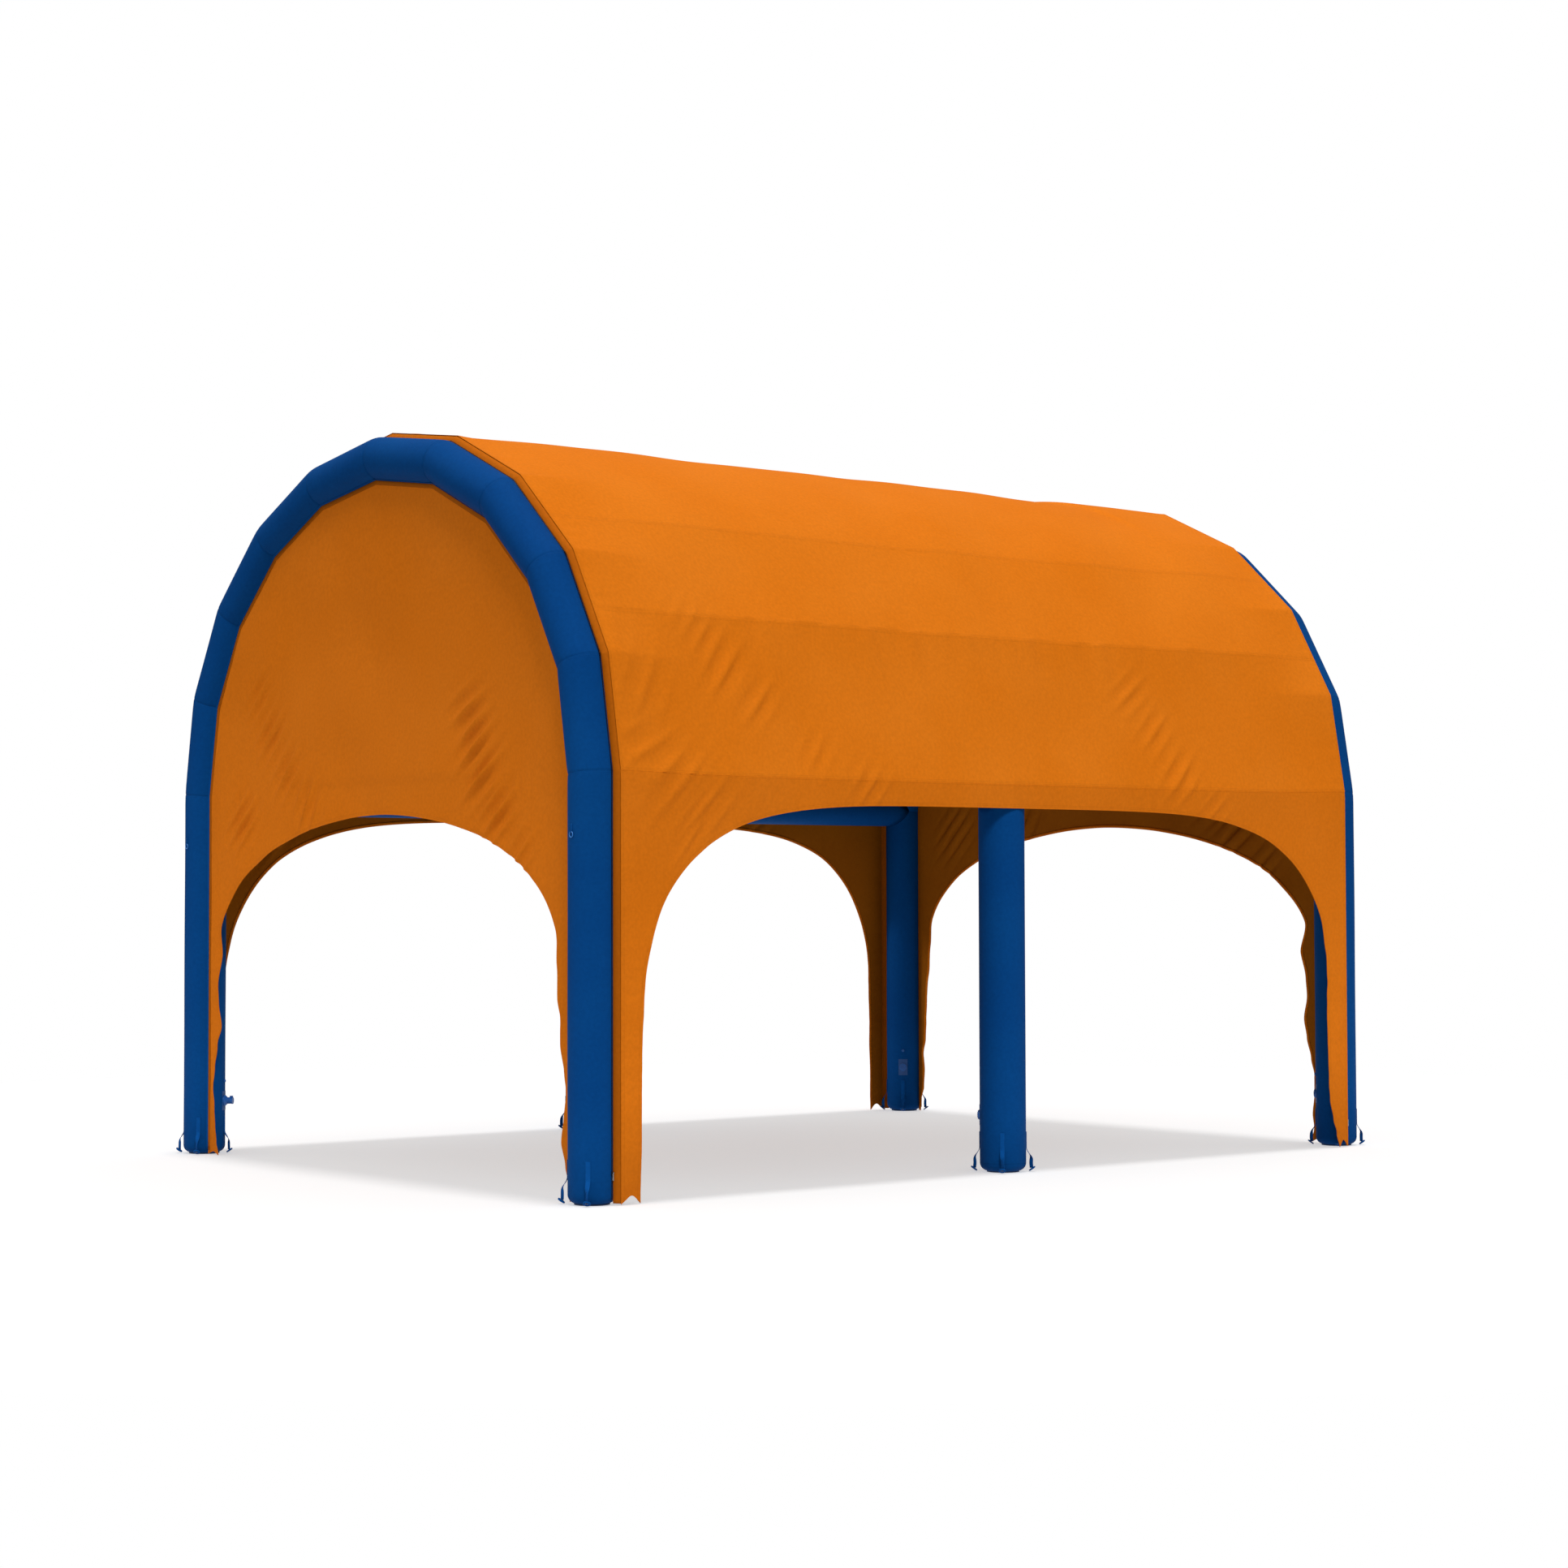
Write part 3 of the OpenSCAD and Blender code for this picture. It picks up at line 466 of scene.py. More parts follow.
def doorway_frame(door, pivot, reach, count):
    """Doorway edge points, the directions in which the cloth runs away from it, and how far it runs, from the
    right foot over the top to the left foot. Beside the pivot the direction is level, above it upright, and
    between it points away from the pivot. reach(point, direction) gives the distance to the cloth's far
    edge."""
    line, length = doorway_curve(door)
    d = np.linspace(0, length[-1], count)
    edge = np.stack([np.interp(d, length, line[:, 0]), np.interp(d, length, line[:, 1])], -1)
    way = np.maximum(edge - np.array(pivot), 0)
    way[(way == 0).all(1)] = (0, 1)
    way /= np.linalg.norm(way, axis=1, keepdims=True)
    edge = np.vstack([edge, (edge * (-1, 1))[-2::-1]])
    way = np.vstack([way, (way * (-1, 1))[-2::-1]])
    d = np.concatenate([d, (2 * length[-1] - d)[-2::-1]])
    return d, edge, way, reach(edge, way)


def side_reach(edge, way):
    """Distance to the canopy's edge lines: |y| of the canopy's ends and the eave's height."""
    with np.errstate(divide="ignore", invalid="ignore"):
        level = np.where(np.abs(way[:, 0]) > 1e-6, (CANOPY_Y - np.abs(edge[:, 0])) / np.abs(way[:, 0]), 99)
        upright = np.where(way[:, 1] > 1e-6, (EAVE + LAP - edge[:, 1]) / way[:, 1], 99)
    return np.minimum(level, upright)


WALL_OUTLINE = PATH - WALL_IN * MITRE


def end_reach(edge, way):
    """Distance to the end wall's outline, the arch's centre line moved inward: the nearest crossing of the
    line from the doorway's edge with each straight run."""
    start, run = WALL_OUTLINE[:-1], np.diff(WALL_OUTLINE, axis=0)
    cross = way[:, None, 0] * run[None, :, 1] - way[:, None, 1] * run[None, :, 0]
    to = start[None] - edge[:, None]
    with np.errstate(divide="ignore", invalid="ignore"):
        dist = (to[..., 0] * run[None, :, 1] - to[..., 1] * run[None, :, 0]) / cross
        at = (to[..., 0] * way[:, None, 1] - to[..., 1] * way[:, None, 0]) / cross
    good = (dist > 0) & (at >= -1e-6) & (at <= 1 + 1e-6)
    return np.where(good, dist, 99).min(1)


# Free edges of the hanging strips: how far each one strays into its doorway, in metres, at these heights.
STRIP_Z = np.array([0.0, 0.09, 0.18, 0.30, 0.42, 0.53, 0.66, 0.79, 0.93, 1.05, 1.22, 1.40])
STRIPS = {
    "side_plain": (0.010, 0.012, 0.014, 0.014, 0.014, 0.014, 0.014, 0.014, 0.012, 0.008, 0.004, 0.0),
    "side_bowed": (-0.040, -0.012, 0.014, 0.040, 0.054, 0.062, 0.064, 0.062, 0.052, 0.036, 0.014, 0.0),
    "front_narrow": (-0.050, -0.044, -0.010, 0.024, 0.004, -0.002, 0.018, 0.034, 0.026, 0.052, 0.040, 0.0),
    "front_curled": (0.060, 0.028, 0.012, 0.002, -0.024, -0.010, 0.030, 0.088, 0.052, 0.040, 0.062, 0.0),
    "rear_wide": (0.040, 0.020, 0.032, 0.016, 0.018, 0.044, 0.072, 0.092, 0.070, 0.078, 0.096, 0.0),
    "rear_bulged": (-0.050, -0.040, -0.010, -0.004, -0.020, 0.004, 0.014, 0.026, 0.030, 0.042, 0.036, 0.0),
}


def loose_edge(z, strip):
    """How far a strip's free edge strays into the doorway at height z: smooth steps between its own marks."""
    k = np.clip(np.searchsorted(STRIP_Z, z, side="right") - 1, 0, len(STRIP_Z) - 2)
    marks = np.array(STRIPS[strip])
    t = smooth((z - STRIP_Z[k]) / (STRIP_Z[k + 1] - STRIP_Z[k]))
    return marks[k] + (marks[k + 1] - marks[k]) * t


def swallowtail(share, rise):
    """Height of a strip's lower edge across its width (share from 0 to 1): two points that hang down at its
    corners and an uneven arch between them."""
    return rise * (np.clip(np.sin(np.pi * share), 0, 1) ** 0.8) * (1 - 0.25 * np.cos(2 * np.pi * share + 0.6))


def free_flutter(height, d, seed, w, left):
    """Flutter of a doorway's edge: a wave along it that fades into the cloth, and away from its far edge."""
    return height * ripple(d[:, None], seed, 0.35, 1.1) * np.exp(-w / 0.06) * np.clip(left / 0.05, 0, 1)


def hanging_shape(door, pivot, reach, count, seed, strips):
    """A wall's doorway frame, with the free edges of its two hanging strips strayed as their names say."""
    d, edge, way, span = doorway_frame(door, pivot, reach, count)
    stray = np.where(edge[:, 0] > 0, *(loose_edge(edge[:, 1], strip) for strip in strips))
    return d, edge - way * stray[:, None], way, span + stray, seed


# ---- side walls ----
def side_shape(seed, *strips):
    return hanging_shape(SIDE_DOOR, (1.9, 1.3), side_reach, 330, seed, strips)


def side_point(shape, w, off):
    """Point of the right side wall w metres into the cloth from the doorway's edge and off metres outward.
    The cloth hangs from the canopy's eave, follows its folds, and flutters a little at its free edge."""
    d, edge, way, span, seed = shape
    yz = edge[:, None] + way[:, None] * w[..., None]
    y, z = yz[..., 0], yz[..., 1]
    z = z + swallowtail(w / span[:, None], 0.034) * (1 - smooth((z - HEM_Z) / 0.16))
    seam = canopy_point(np.zeros_like(y), y)
    eave = seam[..., 0] - canopy_folds(y, np.zeros_like(y))
    left = span[:, None] - w
    flutter = free_flutter(0.0025, d, seed + 20, w, left) * smooth((EAVE - z) / 0.25)
    belly = -0.008 * (1 - (y / CANOPY_Y) ** 2) * smooth((EAVE - z) / 0.3)
    tuck = 0.0056 * smooth((z - EAVE + 0.003) / (LAP + 0.003))
    x = eave + canopy_folds(y, np.minimum(z - EAVE, 0)) + flutter + belly - tuck + off
    z = z + (seam[..., 2] - EAVE) * smooth((z - EAVE + 0.15) / 0.15)
    return np.stack([x, y, z], -1)


def cloth_marks(steps):
    """Shares of the cloth's width from its free edge to its far edge, closer together at the free edge."""
    return np.linspace(0, 1, steps) ** 1.25


def wall_cloth(point, shape, steps):
    """A wall's cloth from its doorway's edge to its far edge."""
    d, edge, way, span = shape[:4]
    w = cloth_marks(steps)[None] * span[:, None]
    points = point(shape, w, 0.0)
    uv = np.stack(np.broadcast_arrays(d[:, None], w), -1)
    seam = np.minimum(w, span[:, None] - w)
    return surface("wall", points, uv, attributes={"seam": seam})


def binding(point, shape, width, proud):
    """Folded tape over a doorway's edge: a flat loop of tape carried along it, proud of both faces."""
    d = shape[0]
    w = np.array([width, width, width * 0.5, 0.0, -0.0012, -0.0012, 0.0, width * 0.5, width, width])
    off = np.array([0.2, 1.0, 1.0, 1.0, 0.5, -0.5, -1.0, -1.0, -1.0, -0.2]) * proud - CLOTH / 2
    off = off * np.where(np.abs(w - width) < 1e-9, 0.9, 1.0)
    w, off = np.append(w, w[0]), np.append(off, off[0])
    grid_w = np.broadcast_to(w[None], (len(d), len(w)))
    points = point(shape, grid_w, off[None])
    uv = np.stack(np.broadcast_arrays(d[:, None], w[None]), -1)
    return surface("binding", *closed_ends(points, uv), wrap_columns=True, pole_start=True, pole_end=True)


# ---- end walls ----
# Folds on the front wall: place across, height, then as in folds().
END_FOLDS = (
    (-1.34, 2.75, 42, 0.085, 0.15, 0.111, 0.0034), (-1.20, 2.52, 46, 0.095, 0.17, 0.124, 0.0048),
    (-1.02, 2.29, 48, 0.095, 0.16, 0.124, 0.0042), (-0.78, 2.10, 60, 0.110, 0.12, 0.130, 0.0042),
    (-1.52, 2.02, 44, 0.090, 0.17, 0.130, 0.0042), (0.92, 2.58, 28, 0.110, 0.17, 0.130, 0.0042),
    (1.00, 2.37, 36, 0.105, 0.19, 0.130, 0.0056), (1.07, 2.21, 34, 0.110, 0.19, 0.117, 0.0060),
    (1.22, 2.00, 38, 0.100, 0.16, 0.130, 0.0048), (1.46, 1.80, 42, 0.090, 0.12, 0.104, 0.0026),
)


def end_folds(x, z):
    """Folds of an end wall: short diagonal folds above the doorway's shoulders, a row of fine upright puckers
    beside a faint level line at the eave, and a slow swell."""
    row = 0.0011 * ripple(x, 13, 0.05, 0.12) * np.exp(-((z - 2.15) / 0.055) ** 2)
    row *= smooth((np.abs(x) - 1.15) / 0.25)
    line = 0.0022 * np.tanh((z - 2.21) / 0.018) * np.exp(-((z - 2.21) / 0.12) ** 2) * (np.abs(x) < 1.1)
    line *= smooth((1.1 - np.abs(x)) / 0.4)
    return WALL_FOLD * folds(x, z, END_FOLDS) + row + line + 0.0030 * cloud(x, z, 17, 0.5, 1.8)


def end_shape(seed, *strips):
    return hanging_shape(END_DOOR, (0.0, END_DOOR[1]), end_reach, 280, seed, strips)


def end_point(shape, w, off):
    """Point of the front end wall w metres into the cloth from the doorway's edge and off metres outward. Its
    far edge is held to the arch, and its free edge flutters a little."""
    d, edge, way, span, seed = shape
    xz = edge[:, None] + way[:, None] * w[..., None]
    x, z = xz[..., 0], xz[..., 1]
    left = span[:, None] - w
    z = z + swallowtail(w / span[:, None], 0.016) * (1 - smooth((z - HEM_Z) / 0.10))
    held = 1 - np.exp(-left / 0.10)
    rim = 0.0020 * ripple(d[:, None] * 1.3, 23, 0.06, 0.2) * np.exp(-left / 0.05) * held
    flutter = free_flutter(0.0030, d, seed + 50, w, left)
    belly = 0.018 * np.clip(left / 0.8, 0, 1) * smooth((z - 1.2) / 0.8)
    y = -WALL_Y + belly - (end_folds(x, z) * held + rim + flutter) - off
    return np.stack([x, y, z], -1)


# ---- strips along an arch ----
def arch_strip(name, a, b, foot, steps, closed=False):
    """A profile (a outward, b along the shelter) carried along the front arch between its feet."""
    station = stations(steps, foot)
    points = along_arch(*np.broadcast_arrays(station[:, None], a, b))
    width = np.concatenate([[0], np.cumsum(np.hypot(np.diff(a), np.diff(b)))])
    length = arch_length(station)
    uv = np.stack(np.broadcast_arrays(width[None], length[:, None]), -1)
    if closed:
        points, uv = closed_ends(points, uv)
    return surface(name, points, uv, wrap_columns=closed, pole_start=closed, pole_end=closed, flip=True)


def oval(width, height, count, power=0.5):
    """Closed outline of a flat strip with rounded edges: across and up."""
    r = np.linspace(0, 2 * np.pi, count + 1)
    c, s = np.cos(r), np.sin(r)
    return width / 2 * np.sign(c) * np.abs(c) ** power, height / 2 * np.sign(s) * np.abs(s) ** power


def copies(points, faces, uv, place, axes):
    """Mesh of one small shape repeated: each copy's points are turned onto its axes and moved to its place."""
    n, v = len(place), len(points)
    at = place[:, None] + np.einsum("vk,nkc->nvc", points, axes)
    face = (faces[None] + np.arange(n)[:, None, None] * v).reshape(-1, faces.shape[1])
    mesh = bpy.data.meshes.new("copies")
    mesh.from_pydata(at.reshape(-1, 3).tolist(), [], face.tolist())
    layer = mesh.uv_layers.new(name="UVMap")
    layer.data.foreach_set("uv", np.tile(uv[faces.ravel()], (n, 1)).astype(np.float32).ravel())
    return mesh


def zip_teeth():
    """Interlocked teeth along the front arch's zip: small chamfered blocks, 6 mm apart, from the two sides in
    turn."""
    station_at = np.arange(0.03, STATION_L[-1] - 0.03, 0.006)
    station = np.interp(station_at, STATION_L, np.arange(len(STATION_L)))
    side = np.where(np.arange(len(station)) % 2, 1.0, -1.0)
    c, s = math.cos(ZIP_ANGLE), math.sin(ZIP_ANGLE)
    lift, across = ZIP_LOW + 0.0013, 0.0011 * side
    place = along_arch(station, lift * c - across * s, lift * s + across * c)
    k = np.clip(np.floor(station).astype(int), 0, len(RUN) - 1)
    out = np.stack([OUT[k, 0], 0 * k, OUT[k, 1]], -1)
    forward = np.stack([RUN[k, 0], 0 * k, RUN[k, 1]], -1)
    side_way = np.array([0.0, 1.0, 0.0])
    up = out * c + side_way * s
    over = side_way * c - out * s
    low = np.array([(-1, -1, 0), (1, -1, 0), (1, 1, 0), (-1, 1, 0)]) * (0.0024, 0.0019, 0) - (0, 0, 0.0011)
    high = np.array([(-1, -1, 0), (1, -1, 0), (1, 1, 0), (-1, 1, 0)]) * (0.0017, 0.0012, 0) + (0, 0, 0.0011)
    block = np.vstack([low, high])
    faces = np.array([(3, 2, 1, 0), (4, 5, 6, 7), (0, 1, 5, 4), (1, 2, 6, 5), (2, 3, 7, 6), (3, 0, 4, 7)])
    axes = np.stack([over, forward, up], 1)
    return copies(block, faces, block[:, :2] + 0.01, place, axes)


# ---- straps, tabs and loops ----
def ribbon(name, path, side, up, width, thick, curve=None):
    """Webbing carried along a path: a flat oval whose width lies along side[i] and whose thickness lies along
    up[i]. curve[i] bends its edges back, as round a tube of that radius."""
    across, lift = oval(width, thick, 14, 0.45)
    points = path[:, None] + across[None, :, None] * side[:, None] + lift[None, :, None] * up[:, None]
    if curve is not None:
        points = points - (across[None, :, None] ** 2 / 2) * curve[:, None, None] * up[:, None]
    length = np.concatenate([[0], np.cumsum(np.linalg.norm(np.diff(path, axis=0), axis=1))])
    uv = np.stack(np.broadcast_arrays(across[None], length[:, None]), -1)
    ends = [point[:, None].repeat(len(across), 1) for point in (path[:1], path[-1:])]
    points, uv = np.concatenate([ends[0], points, ends[1]]), np.concatenate([uv[:1], uv, uv[-1:]])
    return surface(name, points, uv, wrap_columns=True, pole_start=True, pole_end=True)


def rounded_path(corners, radii, step=0.003):
    """Points on straight lines between corners whose inner corners are rounded by quadratic curves."""
    parts = [corners[0][None]]
    for i in range(1, len(corners) - 1):
        back = corners[i - 1] - corners[i]
        ahead = corners[i + 1] - corners[i]
        p0 = corners[i] + back / np.linalg.norm(back) * radii[i - 1]
        p2 = corners[i] + ahead / np.linalg.norm(ahead) * radii[i - 1]
        t = np.linspace(0, 1, 9)[:, None]
        parts.append((1 - t) ** 2 * p0 + 2 * t * (1 - t) * corners[i] + t ** 2 * p2)
    parts.append(corners[-1][None])
    line = np.vstack(parts)
    length = np.concatenate([[0], np.cumsum(np.linalg.norm(np.diff(line, axis=0), axis=1))])
    at = np.linspace(0, length[-1], max(8, int(length[-1] / step)))
    return np.stack([np.interp(at, length, line[:, c]) for c in range(line.shape[1])], -1)


def leg_places():
    """Centre, radius and seed of each leg and post, right ones first."""
    legs = [(x * LEG_X, y * ARCH_Y, TUBE_R) for x in (1, -1) for y in (-1, 1)]
    return [(*p, i) for i, p in enumerate(legs + [(LEG_X, 0.0, POST_R), (-LEG_X, 0.0, POST_R)])]


def anchor_strap(x, y, radius, angle, seed):
    """One anchor strap: sewn flat on the leg from 225 mm down to 125 mm, then out over the rounded edge and
    down to its tab, with a small seeded lean, curl and twist of its free part."""
    rng = np.random.default_rng(100 + seed)
    lean, curl = rng.uniform(-0.004, 0.004), rng.uniform(-0.0015, 0.0015)
    twist = rng.choice([-1, 1]) * rng.uniform(0.75, 1.05)
    line = rounded_path(np.array([[0.0018, 0.225], [0.0018, 0.126], [TAB_REACH - 0.0041, 0.085],
                                  [TAB_REACH - 0.0041, 0.0215]]), [0.014, 0.014])
    free = smooth((0.125 - line[:, 1]) / 0.1)
    out = line[:, 0] + curl * free * np.sin(line[:, 1] * 90)
    radial = np.array([math.cos(angle), math.sin(angle), 0])
    side = np.array([-math.sin(angle), math.cos(angle), 0])
    path = np.array([x, y, 0]) + (radius + out)[:, None] * radial + (lean * free)[:, None] * side
    path[:, 2] = line[:, 1]
    slope = np.gradient(path, axis=0)
    slope /= np.linalg.norm(slope, axis=1, keepdims=True)
    sides = np.broadcast_to(side, path.shape)
    up = np.cross(slope, sides)
    up *= np.sign((up @ radial).sum())
    curve = (1 - free) / radius
    turn = (twist * smooth(free * 1.4))[:, None]
    sides, up = sides * np.cos(turn) + up * np.sin(turn), up * np.cos(turn) - sides * np.sin(turn)
    hand = 1 if np.cross(sides[0], up[0]) @ slope[0] < 0 else -1
    return ribbon("strap", path, hand * sides, up, STRAP_W, 0.0030, curve)


def peg_tab(x, y, radius, angle, eyelet):
    """One peg tab: a round plate with soft edges and an off-centre hole, leaning 35 degrees with its outer edge
    raised, or its metal eyelet. Each ring of points lies between the hole's circle and the rim's."""
    phi = np.linspace(0, 2 * np.pi, 29)
    hole = np.stack([0.006 + 0.004 * np.cos(phi), 0.004 * np.sin(phi)], -1)
    if eyelet:
        rim = np.stack([0.006 + 0.0082 * np.cos(phi), 0.0082 * np.sin(phi)], -1)
        share = np.array([0.0, 0.0, 0.15, 0.5, 0.85, 1.0, 1.0, 0.85, 0.5, 0.15, 0.0])
        height = np.array([-0.0030, 0.0046, 0.0052, 0.0054, 0.0050, 0.0041,
                           -0.0041, -0.0046, -0.0050, -0.0046, -0.0030])
    else:
        rim = np.stack([0.021 * np.cos(phi), 0.021 * np.sin(phi)], -1)
        share = np.array([0.03, 0.03, 0.12, 0.55, 0.86, 0.96, 1.0, 1.0, 0.96, 0.86, 0.55, 0.12, 0.03])
        height = np.array([-0.0034, 0.0034, 0.0040, 0.0040, 0.0038, 0.0031, 0.0016,
                           -0.0016, -0.0031, -0.0038, -0.0040, -0.0040, -0.0034])
    flat = hole[None] * (1 - share[:, None, None]) + rim[None] * share[:, None, None]
    local = np.concatenate([flat, np.broadcast_to(height[:, None, None], (len(share), len(phi), 1))], -1)
    c, s = math.cos(TAB_LEAN), math.sin(TAB_LEAN)
    out = local[..., 0] * c - local[..., 2] * s + TAB_REACH + radius
    up = local[..., 0] * s + local[..., 2] * c + TAB_Z
    ca, sa = math.cos(angle), math.sin(angle)
    points = np.stack([x + out * ca - local[..., 1] * sa, y + out * sa + local[..., 1] * ca, up], -1)
    return surface("tab", points, local[..., :2] + 0.05, wrap_rows=True, wrap_columns=True)


def guy_loop():
    """Front right guy loop: narrow webbing sewn to the leg that runs down, round the ring's wire and back up
    over its own tail."""
    turn = np.radians(np.linspace(180, 505, 26))
    r = 0.0042
    loop = np.stack([RING_OFF + r * np.cos(turn), r * np.sin(turn)], -1)
    down = np.stack([np.full(12, RING_OFF - r), np.linspace(0.0425, 0.001, 12)], -1)
    back = np.stack([np.full(11, 0.0034), np.linspace(0.0075, 0.040, 11)], -1)
    line = np.vstack([down, loop, back])
    path = np.stack([np.full(len(line), LEG_X), -ARCH_Y - TUBE_R - line[:, 0], RING_Z + line[:, 1]], -1)
    slope = np.gradient(path, axis=0)
    slope /= np.linalg.norm(slope, axis=1, keepdims=True)
    side = np.broadcast_to(np.array([1.0, 0.0, 0.0]), path.shape)
    up = np.cross(slope, side)
    return ribbon("loop", path, -side, up, 0.010, 0.0014)


# ---- finishes ----
def linear(hex_colour):
    """sRGB hex to linear RGBA."""
    c = np.array([int(hex_colour[i:i + 2], 16) for i in (1, 3, 5)]) / 255
    lin = np.where(c <= 0.04045, c / 12.92, ((c + 0.055) / 1.055) ** 2.4)
    return (*lin.tolist(), 1.0)


def add(tree, kind, values=(), links=(), **settings):
    """Adds a node with its settings, input values and links."""
    n = tree.nodes.new(kind)
    for key, value in settings.items():
        setattr(n, key, value)
    for key, value in dict(values).items():
        n.inputs[key].default_value = value
    for key, socket in dict(links).items():
        tree.links.new(socket, n.inputs[key])
    return n


def between_colours(tree, first, second, share):
    """Mixes two colours by a share and gives the mixed colour's socket."""
    return add(tree, "ShaderNodeMix", {6: linear(first), 7: linear(second)}, {0: share}, data_type="RGBA").outputs[2]


def finish(name):
    """New material with its shader: the tree, the Principled shader and the Object coordinates."""
    mat = bpy.data.materials.new(name)
    mat.use_nodes = True
    tree = mat.node_tree
    tree.nodes.clear()
    shader = add(tree, "ShaderNodeBsdfPrincipled")
    add(tree, "ShaderNodeOutputMaterial", links={"Surface": shader.outputs["BSDF"]})
    coord = add(tree, "ShaderNodeTexCoord")
    return mat, tree, shader, coord


def woven(name, colour, faded, thread, rough, sheen, bump, stitches=(), dirt_and_shade_height=None, crosswise=1.0):
    """Woven cloth. Warp and weft are two sets of waves on the piece's own UV map in metres, one thread apart,
    that take turns on top. Stitch rows lie at the given distances from the piece's seams. The colour drifts
    slowly between the plain and the faded one, and darkens a little towards the ground below the given height:
    soil on the low hems, and painted shade where that height runs up a whole arch."""
    mat, tree, shader, coord = finish(name)
    math_node, scaled = "ShaderNodeMath", "ShaderNodeMapRange"
    place = {"Vector": coord.outputs["Object"]}
    uv = add(tree, "ShaderNodeUVMap", uv_map="UVMap").outputs["UV"]
    across = add(tree, "ShaderNodeSeparateXYZ", links={0: uv})
    turn = 2 * math.pi / thread
    warp = add(tree, math_node, {1: turn}, {0: across.outputs["X"]}, operation="MULTIPLY")
    weft = add(tree, math_node, {1: turn * crosswise}, {0: across.outputs["Y"]}, operation="MULTIPLY")
    warp = add(tree, math_node, {}, {0: warp.outputs[0]}, operation="SINE")
    weft = add(tree, math_node, {}, {0: weft.outputs[0]}, operation="SINE")
    weave = add(tree, math_node, {}, {0: warp.outputs[0], 1: weft.outputs[0]}, operation="MULTIPLY").outputs[0]
    drift = add(tree, "ShaderNodeTexNoise", {"Scale": 1.3, "Detail": 4.0, "Roughness": 0.55}, place)
    slub = add(tree, "ShaderNodeTexNoise", {"Scale": 55.0, "Detail": 3.0}, place)
    tone = add(tree, scaled, {"From Min": 0.32, "From Max": 0.68}, {"Value": drift.outputs["Fac"]})
    dye = between_colours(tree, colour, faded, tone.outputs["Result"])
    fleck = add(tree, scaled, {"From Min": 0.3, "From Max": 0.7, "To Min": 0.94, "To Max": 1.05},
                {"Value": slub.outputs["Fac"]}).outputs["Result"]
    thread_shade = add(tree, scaled, {"From Min": -1.0, "From Max": 1.0, "To Min": 0.955, "To Max": 1.02},
                       {"Value": weave}).outputs["Result"]
    shade = add(tree, math_node, {}, {0: fleck, 1: thread_shade}, operation="MULTIPLY").outputs[0]
    height = add(tree, math_node, {1: 0.5}, {0: weave}, operation="MULTIPLY").outputs[0]
    if stitches:
        seam = add(tree, "ShaderNodeAttribute", attribute_name="seam", attribute_type="GEOMETRY").outputs["Fac"]
    for row in stitches:
        off = add(tree, math_node, {1: row}, {0: seam}, operation="SUBTRACT").outputs[0]
        off = add(tree, math_node, {}, {0: off}, operation="ABSOLUTE").outputs[0]
        line = add(tree, scaled, {"From Min": 0.0004, "From Max": 0.0014, "To Min": 1.0, "To Max": 0.0},
                   {"Value": off}).outputs["Result"]
        shade = add(tree, math_node, {1: -0.16}, {0: line, 2: shade}, operation="MULTIPLY_ADD").outputs[0]
        height = add(tree, math_node, {1: -2.5}, {0: line, 2: height}, operation="MULTIPLY_ADD").outputs[0]
    # Darker towards the ground below the given height: soil on low hems, painted shade where the height spans a
    # whole arch.
    if dirt_and_shade_height:
        up = add(tree, "ShaderNodeSeparateXYZ", links={0: coord.outputs["Object"]})
        dirt_and_shade_factor = add(tree, scaled, {"From Min": 0.0, "From Max": dirt_and_shade_height, "To Min": 0.80, "To Max": 1.0},
                    {"Value": up.outputs["Z"]}, interpolation_type="SMOOTHSTEP").outputs["Result"]
        shade = add(tree, math_node, {}, {0: shade, 1: dirt_and_shade_factor}, operation="MULTIPLY").outputs[0]
    dyed = add(tree, "ShaderNodeVectorMath", {}, {0: dye, "Scale": shade}, operation="SCALE")
    tree.links.new(dyed.outputs["Vector"], shader.inputs["Base Color"])
    gloss = add(tree, scaled, {"From Min": -1.0, "From Max": 1.0, "To Min": rough + 0.05, "To Max": rough - 0.03},
                {"Value": weave})
    tree.links.new(gloss.outputs["Result"], shader.inputs["Roughness"])
    relief = add(tree, "ShaderNodeBump", {"Strength": bump, "Distance": 0.0006}, {"Height": height})
    tree.links.new(relief.outputs["Normal"], shader.inputs["Normal"])
    shader.inputs["Sheen Weight"].default_value = sheen
    shader.inputs["Sheen Roughness"].default_value = 0.5
    shader.inputs["Sheen Tint"].default_value = linear(faded)
    shader.inputs["IOR"].default_value = 1.45
    shader.inputs["Specular IOR Level"].default_value = 0.04
    shader.inputs["Specular Tint"].default_value = linear(faded)
    return mat


